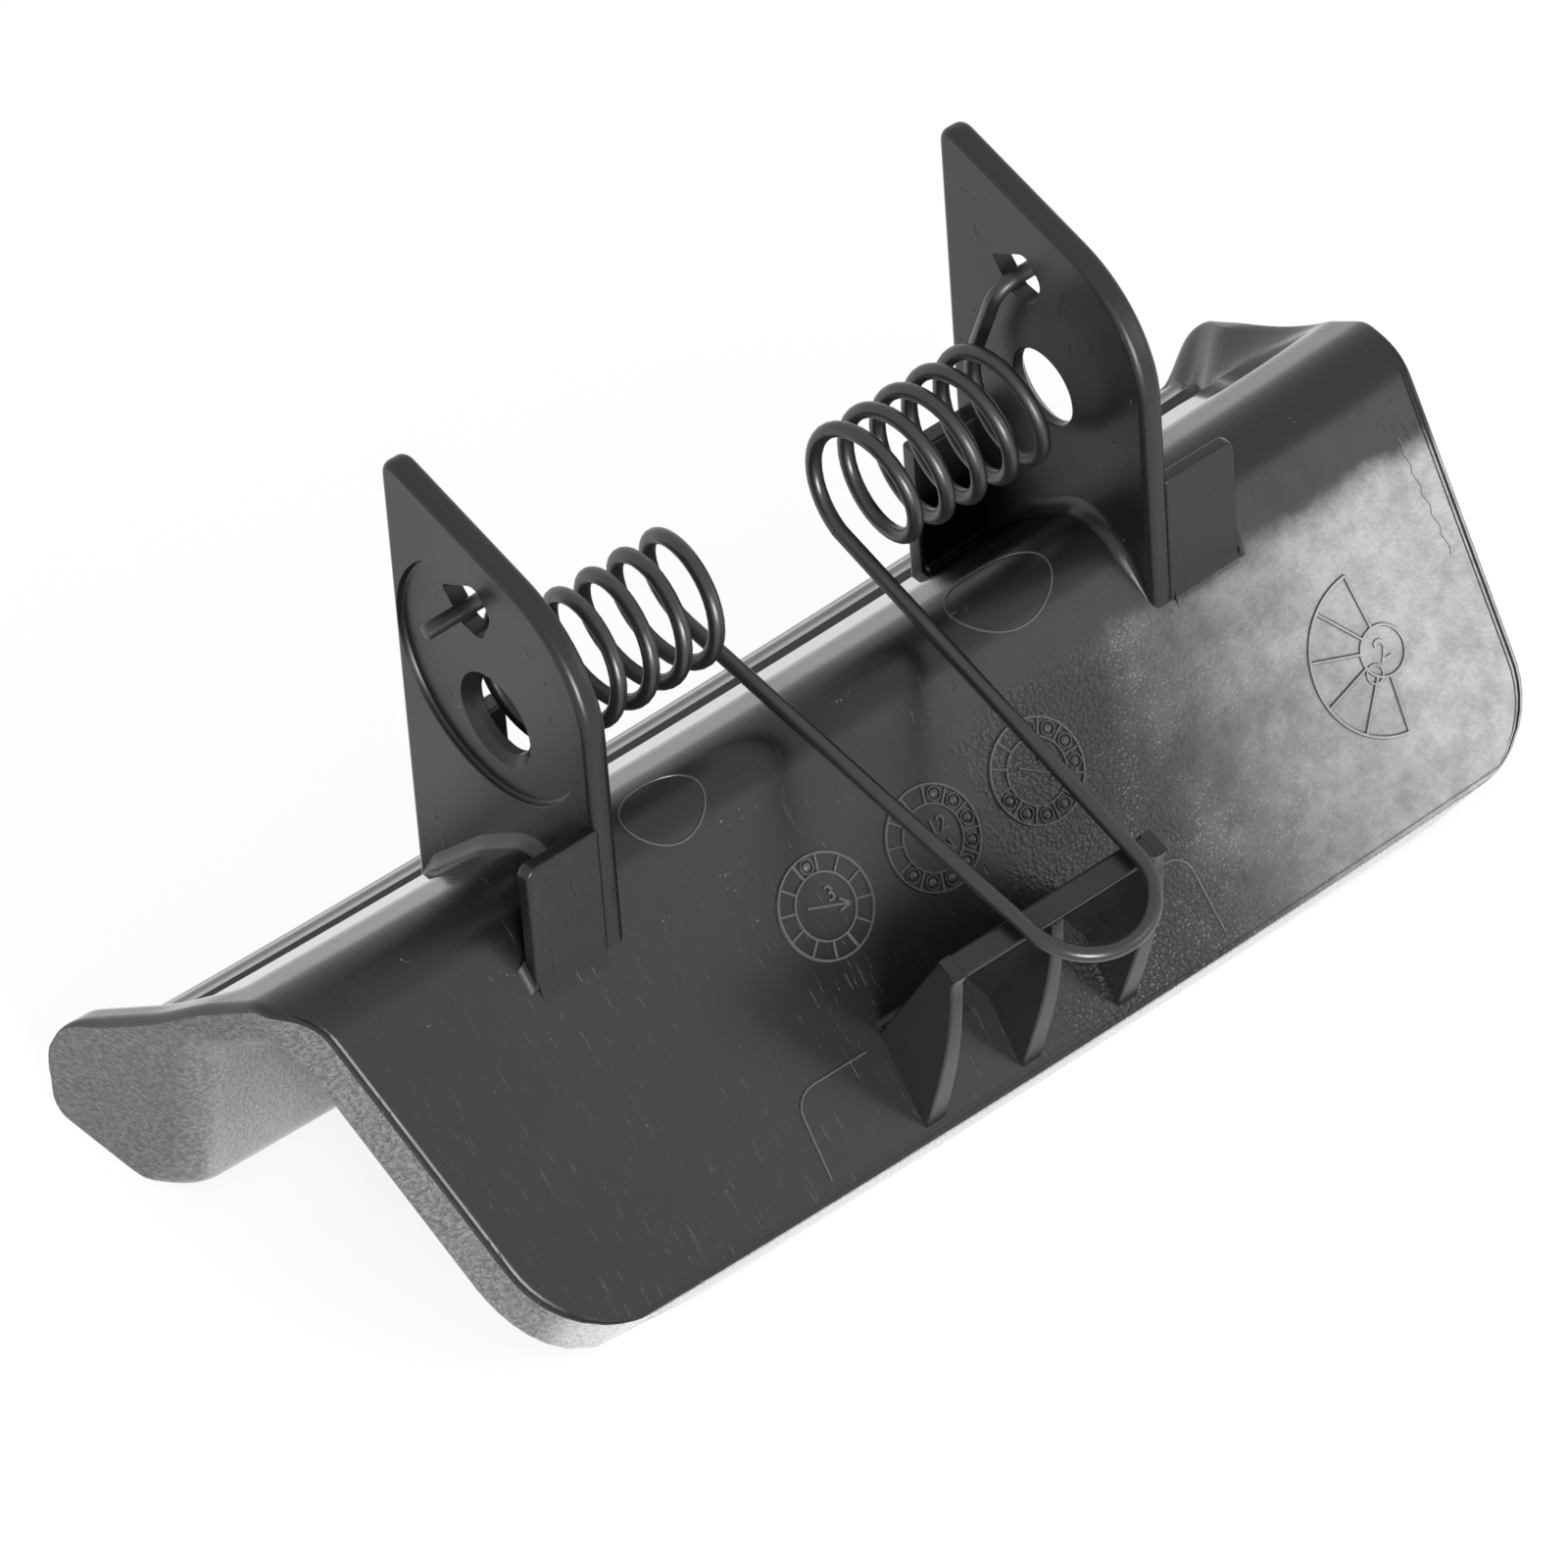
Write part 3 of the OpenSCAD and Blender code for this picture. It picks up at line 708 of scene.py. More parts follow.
def plastic_material(name, colour, colours, wear, haze_and_sheen_nodes):
    """Smooth moulded plastic: satin, with a hazy stippled stretch painted pale as a sheen, painted glints,
    fine scratches and nicks.
    """
    _, tree, shader = new_material(name, colour, 0.34, 1.46)
    marks = node(tree, "ShaderNodeGroup", node_tree=wear).outputs
    face = node(tree, "ShaderNodeGroup", node_tree=haze_and_sheen_nodes).outputs
    # Pale specks, and the painted glints of the stipple, lighten the colour.
    specks_and_painted_glints = reckon(tree, "MAXIMUM", marks["Specks"], face["Painted glints"])
    # The hazy stretch is painted pale: a painted sheen over the etched stipple.
    tone = mixed(tree, face["Haze and painted sheen"], colour, colours.haze_and_painted_sheen)
    put(tree, mixed(tree, product(tree, specks_and_painted_glints, 0.28), tone, (0.4, 0.4, 0.4)), shader["Base Color"])
    rough = reckon(tree, "ADD", ramp(tree, marks["Clouds"], 0.3, 0.7, 0.29, 0.37),
                   product(tree, marks["Scratches"], 0.12), product(tree, face["Haze and painted sheen"], 0.1))
    seen = glancing(tree, 0.7, 0.12)
    put(tree, product(tree, rough, seen), shader["Roughness"])
    scored = reckon(tree, "SUBTRACT", marks["Scratches"], marks["Nicks"])
    height = reckon(tree, "ADD", face["Stipple"], product(tree, scored, 0.35))
    bump(tree, shader, height, 0.00006, product(tree, seen, 0.75))


def skin_material(colours, wear):
    """Grained outer skin: short streaky wrinkles, paler than the inner side, with painted light on faces
    turned to the front and down, at the near face and low down.
    """
    _, tree, shader = new_material("grained_skin", colours.skin, 0.56)
    streaked = mapped(tree, (2.6, 1.0, 1.0), (0.0, -0.27, -1.37), "TEXTURE")
    wrinkles = noise(tree, streaked, Scale=4000.0, Detail=3.0, Roughness=0.55, Distortion=0.3)
    seen = glancing(tree, 0.66, 0.25)
    bump(tree, shader, wrinkles, 0.00042, seen)
    dark, light = [c * 0.72 for c in colours.skin], [c * 1.25 for c in colours.skin]
    tone = mixed(tree, ramp(tree, wrinkles, 0.35, 0.65), dark, light)
    # Painted light: faces turned forward and down are painted pale, fully along the near strip and partly
    # lower down, more the lower they lie.
    near_strip = ramp(tree, along_axis(tree, (0.0, -1.0, 0.0)), 0.0195, 0.0215)
    low_down = ramp(tree, along_axis(tree, (0.0, 0.0, -1.0)), 0.018, 0.033, 0.1, 0.5)
    painted_front_light = product(tree, ramp(tree, turned_to(tree, (0.0, -0.95, -0.3)), 0.7, 0.99),
                     reckon(tree, "MAXIMUM", near_strip, low_down))
    put(tree, mixed(tree, painted_front_light, tone, colours.near_face), shader["Base Color"])
    clouds = node(tree, "ShaderNodeGroup", node_tree=wear).outputs["Clouds"]
    put(tree, product(tree, ramp(tree, clouds, 0.3, 0.7, 0.5, 0.6), seen), shader["Roughness"])


def wire_material(colours, wear):
    """Black coated spring wire: satin, with rubbed specks."""
    _, tree, shader = new_material("coated_wire", colours.wire, 0.34, 1.6)
    marks = node(tree, "ShaderNodeGroup", node_tree=wear, Speck_size=3800.0).outputs
    put(tree, ramp(tree, marks["Clouds"], 0.3, 0.7, 0.27, 0.42), shader["Roughness"])
    tone = mixed(tree, product(tree, marks["Specks"], 0.5), colours.wire, (0.2, 0.2, 0.195))
    put(tree, tone, shader["Base Color"])
    bump(tree, shader, noise(tree, mapped(tree), Scale=2200.0, Detail=3.0), 0.00003, 0.35)


def finishes():
    """The finishes, made once."""
    if "moulded_plastic" not in bpy.data.materials:
        colours = bpy.context.scene.handle_colours
        wear = moulding_wear_group()
        haze_and_sheen_nodes = hazed_face_and_sheen_group()
        plastic_material("moulded_plastic", colours.plastic, colours, wear, haze_and_sheen_nodes)
        skin_material(colours, wear)
        # Raised marks in a paler colour, a painted highlight.
        plastic_material("raised_marks", colours.marks, colours, wear, haze_and_sheen_nodes)
        wire_material(colours, wear)
    names = ("moulded_plastic", "grained_skin", "raised_marks", "coated_wire")
    return [bpy.data.materials[name] for name in names]


# --- The moulding ---

# Material slots of the moulding
PLASTIC, SKIN, MARK = 0, 1, 2
# Rounding of the skin's end, and along the bar's finger side, and how far from the end it may start
END_ROUND, FINGER_ROUND, END_REACH = 1.3, 2.6, 2.6
# Distance from an end or edge, and how far the smooth side stands proud there: a bead, then a groove
BEAD = [(0.0, 0.0), (0.1, 0.08), (0.24, 0.08), (0.36, -0.06), (0.5, -0.09), (0.66, 0.0)]
# How far the smooth side's edge stands back from the panel's skin, at the left and the right end, and
# the distance from the parting line over which the skin comes out to its full length
LEFT_INSET, RIGHT_INSET, INSET_FADE = 1.45, 0.1, 1.4
# The panel's near part lies in front of this y
NEAR_PART = -15.0
# Least rounding of the skin's end, beside the parting line, and its growth with the distance from it
LEAST_ROUND, ROUND_GROWTH = 0.1, 0.4
# Rounding of the skin's end at the far and near faces, and a distance beyond every rounding of an end
CRISP_ROUND, PLAIN_REACH = 0.25, 9.0
# Rounding of the roof's left and right end on the smooth side, and how far its edge stands back
LEFT_ROUND, RIGHT_ROUND, ROOF_INSET = 0.6, 0.4, 0.15


def bead(distance):
    """How far the smooth side stands proud at a distance from an end or edge."""
    for (d0, h0), (d1, h1) in zip(BEAD, BEAD[1:]):
        if d0 <= distance <= d1:
            return h0 + (h1 - h0) * (distance - d0) / (d1 - d0)
    return 0.0


def end_stations():
    """Places along the handle: share of the plain length, and distance from the end or None."""
    steps = [END_REACH, 2.2, 1.8, 1.5, 1.3, 1.0, 0.8, 0.66, 0.5, 0.36, 0.24, 0.1, 0.04, 0.0]
    plain = [i / 72 for i in range(-63, 64)]
    close = [0.885 + 0.0055 * i for i in range(16)] + [0.978, 0.99]
    shares = sorted([-t for t in close] + plain + close)
    return ([(-1, d) for d in reversed(steps)] + [(t, None) for t in shares] + [(1, d) for d in steps])


def roofward(section, point):
    """0 on the front panel and 1 on the roof, eased over the ridge."""
    return smooth(section.ridge.x - 2.5, section.ridge.x + 1.5, point.x)


def edge_inset(section, point, smooth_side, side, from_parting):
    """How far a point of the section stands back from the skin's end."""
    inset = LEFT_INSET if side < 0 else RIGHT_INSET
    if smooth_side:
        roof = ROOF_INSET * (1.0 - smooth(15.0, 20.0, point.x))
        return inset + (roof - inset) * roofward(section, point)
    inset *= max(1.0 - from_parting / INSET_FADE, 0.0)
    if point.x < NEAR_PART:
        inset += 5.0 * max((point - section.near_edge).dot(section.down_panel), 0.0)
    return inset


def smooth_side_offset(section, point, side, distance, from_parting):
    """How far the smooth side stands proud: a bead along the panel's edge, a rounding at the roof's."""
    share = roofward(section, point)
    radius = LEFT_ROUND if side < 0 else RIGHT_ROUND
    radius += (0.12 - radius) * smooth(14.0, 19.5, point.x)
    radius *= share
    back = max(radius - distance, 0.0)
    rounding = math.sqrt(max(radius ** 2 - back ** 2, 0.0)) - radius
    fading = 0.3 + 0.7 * smooth(0.0, 2.0, from_parting - distance)
    return rounding + fading * bead(min(distance, from_parting)) * (1.0 - share)


def end_radius(section, point):
    """Rounding of the skin's end: wide along the bar's finger side, narrow at the far and near faces."""
    s = section.s
    finger = smooth(-14.5, -20.0, point.y) * smooth(s.bar_near + 5.5, s.bar_near + 1.0, point.x)
    finger *= smooth(-1.0, 2.5, point.x)
    crisp = max(smooth(s.bar_near + 3.0, s.bar_near + 6.5, point.x), smooth(-19.0, -22.0, point.x))
    return END_ROUND + (FINGER_ROUND - END_ROUND) * finger - (END_ROUND - CRISP_ROUND) * crisp


def shell_shape(section):
    """The shell: the section carried along the bow, trimmed and rounded at its two ends."""
    normals = section.normals()
    points, inner = section.points, section.inner
    count = len(points)
    on_inner = [inner[j] or inner[j - 1] for j in range(count)]
    parting = points[inner.index(True)]
    stations = end_stations()

    def place(i, j):
        j %= count
        point, normal = points[j], normals[j]
        share, from_end = stations[i]
        side = -1 if share < 0 else 1
        along = (point - parting).length
        half = section.half_at(point, side) - edge_inset(section, point, on_inner[j], side, along)
        distance = END_REACH if from_end is None else from_end
        x = share * (half - distance)
        if on_inner[j]:
            distance = PLAIN_REACH if from_end is None else from_end
            offset = smooth_side_offset(section, point, side, distance, along)
        else:
            radius = min(end_radius(section, point), LEAST_ROUND + ROUND_GROWTH * along)
            back = max(radius - distance, 0.0)
            offset = -(radius - math.sqrt(max(radius ** 2 - back ** 2, 0.0)))
        y, z = point + normal * offset
        if side < 0 and y < NEAR_PART and not on_inner[j]:
            y, z = section.corner_foot(point, x, y, z)
        if on_inner[j]:
            z = section.pocketed(x, y, z)
        return Vector((x, y, max(z + section.rise(x), section.base)))

    bm = bmesh.new()
    cells = grid_shape(bm, len(stations) - 1, count, place)
    for face, (_, row) in cells.items():
        face.material_index = PLASTIC if inner[row] else SKIN
    bmesh.ops.remove_doubles(bm, verts=bm.verts, dist=1e-4)
    for side in SIDES:
        rim = [e for e in bm.edges if e.is_boundary and e.verts[0].co.x * side > 0]
        filled = bmesh.ops.triangle_fill(bm, edges=rim, use_beauty=True, use_dissolve=False)
        for face in [f for f in filled["geom"] if isinstance(f, bmesh.types.BMFace)]:
            face.material_index = SKIN
    bmesh.ops.recalc_face_normals(bm, faces=bm.faces)
    return bm


def ear_shape(section, e):
    """An ear with its bore, its round recess and the spring end's hole."""
    sink = 1.4
    front_top = e.tip - (e.front + e.back) * math.tan(math.radians(e.top_slope))
    start = section.s.pocket_start
    outline = rounded([
        ((e.back, e.tip), e.tip_round),
        ((-e.front, front_top), e.shoulder),
        ((-e.front, section.top(0, -e.front).z - sink), 0),
        ((section.ridge.x, section.ridge.y - section.s.ridge_round / 2 - sink), 0),
        ((start, section.pocket_floor(start) - sink), 0),
        ((e.back, section.pocket_floor(e.back) - sink), 0),
    ], steps=14)
    outer = e.inner + e.wall
    bm = prism(outline, e.inner, outer)
    edges = [g for g in bm.edges if abs(g.verts[0].co.x - g.verts[1].co.x) < 1e-4
             and not all(v.co.z < section.top(0, v.co.y).z - 1 for v in g.verts)]
    round_edges(bm, edges, 0.6, 5)
    floor = outer - e.recess_depth
    bore = e.bore / 2
    past = 3.0
    recess = lathe([(floor, 0), (floor, e.recess - 0.25), (floor + 0.06, e.recess - 0.08),
                    (floor + 0.2, e.recess), (outer - 0.08, e.recess), (outer, e.recess + 0.06),
                    (outer + past, e.recess + 0.06), (outer + past, 0)], 0, e.recess_up, 96)
    drill = lathe([(e.inner - past, 0), (e.inner - past, bore + 0.12), (e.inner, bore + 0.12),
                   (e.inner + 0.12, bore), (floor - 0.55, bore), (floor - 0.1, bore + e.lead_in - 0.1),
                   (floor, bore + e.lead_in), (outer + past, bore + e.lead_in), (outer + past, 0)], 0, 0)
    wedge = rounded([
        ((e.hole_back + 2.5, e.hole_up + 0.45), 0.35),
        ((e.hole_back - 1.0, e.hole_up + 2.45), 0.9),
        ((e.hole_back - 2.5, e.hole_up + 0.6), 1.1),
        ((e.hole_back - 1.3, e.hole_up - 1.95), 0.9),
        ((e.hole_back + 0.6, e.hole_up - 1.7), 0.5),
    ], steps=5)
    hole = prism(wedge, e.inner - past, outer + past)
    return carved(bm, [recess, drill, hole])


def ear_root_fillets(section, e, radius=0.9):
    """Fillets where an ear's two faces meet the shell."""
    fillets = []
    for face_x, away in ((e.inner + e.wall, 1), (e.inner, -1)):
        ys = [-e.front + 0.5 + (e.front + e.back - 1.0) * i / 44 for i in range(45)]
        path = [section.top(face_x, y) for y in ys]
        up = [section.top_normal(face_x, y) for y in ys]
        up = [Vector((0, n.y, n.z)).normalized() for n in up]
        fillets.append(fillet(path, up, [Vector((away, 0, 0))] * len(path), radius, taper=5))
    return fillets


def stop_shape(section, e):
    """The rib outside an ear that stops the handle's swing, with its flared foot."""
    outer = e.inner + e.wall
    front, back, end = -e.front - e.stop_wall + 1.05, -e.front + 1.05, outer + e.stop_reach
    foot = section.top(outer, front).z - 1.4
    rib = block((outer - 0.35, front, foot), (end, back, -e.stop_drop))
    corner = [g for g in rib.edges
              if all(v.co.x > end - 0.1 and v.co.z > -e.stop_drop - 0.1 for v in g.verts)]
    soften(round_edges(rib, corner, 0.7, 4), 0.26)
    up = Vector((0, 0, 1))
    down_panel = Vector((0, section.down_panel.x, section.down_panel.y))
    xs = [outer, (outer + end) / 2, end - 0.2]
    before = [section.top(x, front) for x in xs]
    behind = [section.top(x, back) for x in xs]
    side = [section.top(end, front + (back - front) * i / 2) for i in range(3)]
    return [
        rib,
        fillet(before, [up] * 3, [down_panel] * 3, 0.9),
        fillet(behind, [up] * 3, [-down_panel] * 3, 0.5),
        fillet(side, [up] * 3, [Vector((1, 0, 0))] * 3, 0.8),
    ]


def flange_shape(section, e):
    """The short plate inside an ear's back edge."""
    back = e.back - 0.5
    front = back - e.flange_wall
    foot = section.top(e.inner, back).z - 1.4
    end = e.inner - e.flange_reach
    plate = soften(block((end, front, foot), (e.inner + 0.7, back, -e.flange_drop)), 0.3)
    xs = [end + 0.2, e.inner]
    up_roof = Vector((0, *-heading(-section.s.pocket_slope)))
    before = [section.top(x, front) for x in xs]
    return [plate, fillet(before, [Vector((0, 0, 1))] * 2, [up_roof] * 2, 0.7)]


def crest_place(section, p):
    """The rest plate's root and crest, and the spring leg's slope over it."""
    up_rest = heading(90 + p.rest_lean)
    root = section.ridge + section.down_panel * p.rest_down
    crest = root + up_rest * p.rest_rise
    centre = Vector((p.back, p.up))
    offset = p.coil + p.wire / 2 + p.rest_gap
    to_crest = crest - centre
    slope = math.degrees(math.atan2(-to_crest.y, -to_crest.x) - math.asin(offset / to_crest.length))
    return root, crest, up_rest, slope


# Thickness of a fin under the plate's top and at its foot
FIN_TOP, FIN_FOOT = 1.0, 1.7


def rest_shapes(section, p):
    """The plate that carries the spring's loop, on its three fins."""
    root, crest, up_rest, slope = crest_place(section, p)
    along = heading(180 + slope)
    front = heading(180 + p.rest_lean)
    reach = p.rest_wall / 2
    foot = root - up_rest * 1.4
    half = p.rest_width / 2
    front_top = meet(foot + front * reach, up_rest, crest, along)
    back_top = meet(foot - front * reach, up_rest, crest, along)
    inside = half - FIN_TOP + 0.06
    plate = prism([foot + front * reach, front_top, back_top, foot - front * reach], -inside, inside)

    def at_crest(edge):
        """Whether an edge runs along the handle beside the crest."""
        a, b = (v.co for v in edge.verts)
        return abs(a.x - b.x) > 1 and all((co.yz - crest).length < 3 for co in (a, b))

    parts = [soften(plate, 0.32, keep=at_crest)]
    low = section.near_edge - section.down_panel * 1.0
    high = front_top - up_rest * 1.0 + front * 0.05
    chord = low - high
    out = Vector((chord.y, -chord.x)).normalized()
    bulge = [high + chord * (i / 12) + out * 0.55 * math.sin(math.pi * (i / 12) ** 0.8) for i in range(13)]
    web = [crest - up_rest * 1.2] + bulge + [low + section.into_panel * 1.4, foot]
    cheek = [back_top, front_top] + bulge + [low + section.into_panel * 1.4, foot - front * reach]
    for place in (-1, 0, 1):
        outer_face = place * half
        fin = prism(web if place == 0 else cheek, -0.5, 0.5)
        for v in fin.verts:
            wide = FIN_TOP + (FIN_FOOT - FIN_TOP) * smooth(high.y, low.y, v.co.z)
            v.co.x = outer_face + (v.co.x - 0.5 * place) * wide

        def seen(edge):
            """Whether an edge is the middle fin's, lies in an outer face or stays below the plate's top."""
            ends = [v.co for v in edge.verts]
            return (place == 0 or all(abs(co.x - outer_face) < 1e-3 for co in ends)
                    or all(co.z < front_top.y - 0.8 for co in ends))

        parts.append(soften(fin, 0.2, keep=seen))
    up = Vector((0, up_rest.x, up_rest.y))
    up_panel = Vector((0, -section.down_panel.x, -section.down_panel.y))
    base = meet(root - front * reach, up_rest, section.ridge, section.down_panel)
    path = [Vector((x, base.x, base.y + section.rise(x))) for x in (-half + 0.1, 0, half - 0.1)]
    parts.append(fillet(path, [up] * 3, [up_panel] * 3, 0.7))
    return parts


# --- Marks moulded into the front panel ---

def laid(bm, section, x, down):
    """A flat shape, laid on the panel at x and so far down from the ridge, its own Y pointing up."""
    for v in bm.verts:
        px, py = x + v.co.x, section.panel_y(down - v.co.y)
        v.co = section.top(px, py) + section.top_normal(px, py) * v.co.z
    return bm


def flat_ring(radius, width, height, steps=72, start=0.0, sweep=360.0):
    """A low raised ring, or part of one."""
    bm = bmesh.new()
    profile = [(-width / 2, -0.12), (-width / 4, height), (width / 4, height), (width / 2, -0.12)]
    verts = [bm.verts.new((radius + dx, 0, dz)) for dx, dz in profile]
    edges = [bm.edges.new((a, b)) for a, b in zip(verts, verts[1:] + verts[:1])]
    whole = sweep == 360.0
    bmesh.ops.spin(bm, geom=verts + edges, cent=(0, 0, 0), axis=(0, 0, 1),
                   angle=math.radians(sweep), steps=steps, use_merge=whole)
    if not whole:
        bmesh.ops.holes_fill(bm, edges=[e for e in bm.edges if e.is_boundary], sides=0)
    bmesh.ops.rotate(bm, verts=bm.verts, cent=(0, 0, 0), matrix=Matrix.Rotation(math.radians(start), 3, "Z"))
    bmesh.ops.recalc_face_normals(bm, faces=bm.faces)
    return bm


def flat_bar(start, end, width, height):
    """A low raised bar between two points of the plane."""
    a, b = Vector(start), Vector(end)
    bm = block((0, -width / 2, -0.12), ((b - a).length, width / 2, height))
    turn = math.atan2((b - a).y, (b - a).x)
    bmesh.ops.rotate(bm, verts=bm.verts, cent=(0, 0, 0), matrix=Matrix.Rotation(turn, 3, "Z"))
    bmesh.ops.translate(bm, verts=bm.verts, vec=(a.x, a.y, 0))
    return soften(bm, min(width, height) * 0.3, 1)


def pip(radius, height):
    """A small round button."""
    bm = bmesh.new()
    bmesh.ops.create_uvsphere(bm, u_segments=16, v_segments=8, radius=radius)
    bmesh.ops.scale(bm, vec=(1, 1, height / radius), verts=bm.verts)
    return bm


def moved(bm, x, y):
    bmesh.ops.translate(bm, verts=bm.verts, vec=(x, y, 0))
    return bm


def numeral(text, size, height):
    """A plain raised number."""
    curve = bpy.data.curves.new("numeral", "FONT")
    curve.body = text
    curve.size = size
    curve.extrude = height
    curve.align_x = "CENTER"
    curve.align_y = "CENTER"
    curve.resolution_u = 3
    obj = new_object("numeral", curve)
    bm = evaluated_shape(obj)
    bpy.data.objects.remove(obj)
    bpy.data.curves.remove(curve)
    bmesh.ops.remove_doubles(bm, verts=bm.verts, dist=1e-4)
    return bm


def date_dial(text, pips, turn, radius=3.5):
    """A dial of twelve windows round a pointer and a plain number."""
    inner = radius * 0.64
    parts = [flat_ring(radius, 0.28, 0.18), flat_ring(inner, 0.24, 0.15)]
    for i in range(12):
        out = heading(30 * i + 15 + turn)
        parts.append(flat_bar(out * inner, out * radius, 0.18, 0.13))
    for i in range(pips):
        at = heading(60 - 30 * i + turn) * (inner + radius) / 2
        parts.append(moved(pip(0.34, 0.26), at.x, at.y))
        parts.append(moved(flat_ring(0.48, 0.13, 0.14, 20), at.x, at.y))
    tip = heading(-50 + turn) * inner * 0.82
    parts.append(flat_bar(-tip * 0.75, tip, 0.2, 0.16))
    for side in SIDES:
        barb = tip + (heading(130 + turn + 26 * side) * 0.9)
        parts.append(flat_bar(tip, barb, 0.2, 0.16))
    parts.append(moved(numeral(text, 1.5, 0.13), inner * 0.3, inner * 0.25))
    return gathered(parts)


def cavity_wheel(text, radius=5.6):
    """The large dial near the right end: half its spokes stand out, round a small numbered disc."""
    hub = 1.7
    parts = [flat_ring(radius, 0.3, 0.2, 48, 92, 170), flat_ring(hub, 0.26, 0.18, 40)]
    for i in range(6):
        out = heading(92 + 34 * i)
        parts.append(flat_bar(out * hub, out * radius, 0.24, 0.18))
    parts.append(moved(flat_ring(0.62, 0.2, 0.16, 24), -1.25, -1.05))
    parts.append(moved(numeral(text, 2.2, 0.15), 0, 0))
    return gathered(parts)


def surface_line(section, path, width, height, closed=False):
    """A fine raised line over the inner side, through (x, y) places."""
    spots = path + [path[0]] if closed else path
    rings = []
    for i, (x, y) in enumerate(spots):
        ahead = spots[min(i + 1, len(spots) - 1)]
        behind = spots[max(i - 1, 0)]
        if closed and i in (0, len(spots) - 1):
            ahead, behind = spots[1], spots[-2]
        here, up = section.top(x, y), section.top_normal(x, y)
        along = (section.top(*ahead) - section.top(*behind)).normalized()
        side = up.cross(along).normalized()
        rings.append([here + side * width / 2 - up * 0.1, here + side * width / 4 + up * height,
                      here - side * width / 4 + up * height, here - side * width / 2 - up * 0.1])
    return loft(rings)


def insert_line(section, side):
    """Witness line of the mould insert beside the spring rest."""
    out, corner, top_s = 16.6, 1.6, 22.2
    path = [(side * 10.5, section.panel_y(top_s)), (side * (out - corner), section.panel_y(top_s))]
    for i in range(1, 7):
        turn = math.radians(15 * i)
        path.append((side * (out - corner + corner * math.sin(turn)),
                     section.panel_y(top_s + corner - corner * math.cos(turn))))
    path += [(side * (out + 0.03 * k), section.panel_y(top_s + corner + 0.88 * k)) for k in range(1, 6)]
    return surface_line(section, path, 0.2, 0.13)


def pin_circle(section, x, y, radius_x, radius_y):
    """The faint ring that an ejector pin leaves."""
    path = [(x + radius_x * math.cos(math.radians(7.5 * i)), y + radius_y * math.sin(math.radians(7.5 * i)))
            for i in range(48)]
    return surface_line(section, path, 0.2, 0.08, closed=True)


def mark_shapes(section):
    """The dials, the ejector pins' rings, the insert's lines and a wavy flow line."""
    # number, buttons, turn, place along the handle, distance down the panel
    dials = [("3", 1, 30, -8.5, 12.7), ("12", 8, 0, 0.6, 12.6), ("6", 9, 15, 9.5, 12.5)]
    parts = [laid(date_dial(text, pips, turn), section, x, down) for text, pips, turn, x, down in dials]
    parts += [
        laid(cavity_wheel("2"), section, 36.1, 18.3),
        pin_circle(section, -15.5, -5.9, 3.1, 2.1),
        pin_circle(section, 13.4, -5.2, 4.0, 2.6),
    ]
    parts += [insert_line(section, side) for side in SIDES]
    wavy = [(43.9 + 0.12 * math.sin(2.1 * k), section.panel_y(7.0 + 0.5 * k)) for k in range(18)]
    parts.append(surface_line(section, wavy, 0.18, 0.07))
    return parts


# --- The spring ---

def wire_frames(path):
    """Tangent and a normal carried along without twist, at each point of a path."""
    tangents = []
    for i in range(len(path)):
        tangents.append((path[min(i + 1, len(path) - 1)] - path[max(i - 1, 0)]).normalized())
    normal = tangents[0].orthogonal().normalized()
    frames = []
    for tangent in tangents:
        normal = (normal - tangent * normal.dot(tangent)).normalized()
        frames.append((tangent, normal, tangent.cross(normal)))
    return frames


def wire_shape(path, radii, sides=20):
    """A round wire along a path."""
    rings = []
    for point, radius, (_, normal, binormal) in zip(path, radii, wire_frames(path)):
        rings.append([point + (normal * math.cos(a) + binormal * math.sin(a)) * radius
                      for a in (2 * math.pi * k / sides for k in range(sides))])
    return loft(rings)


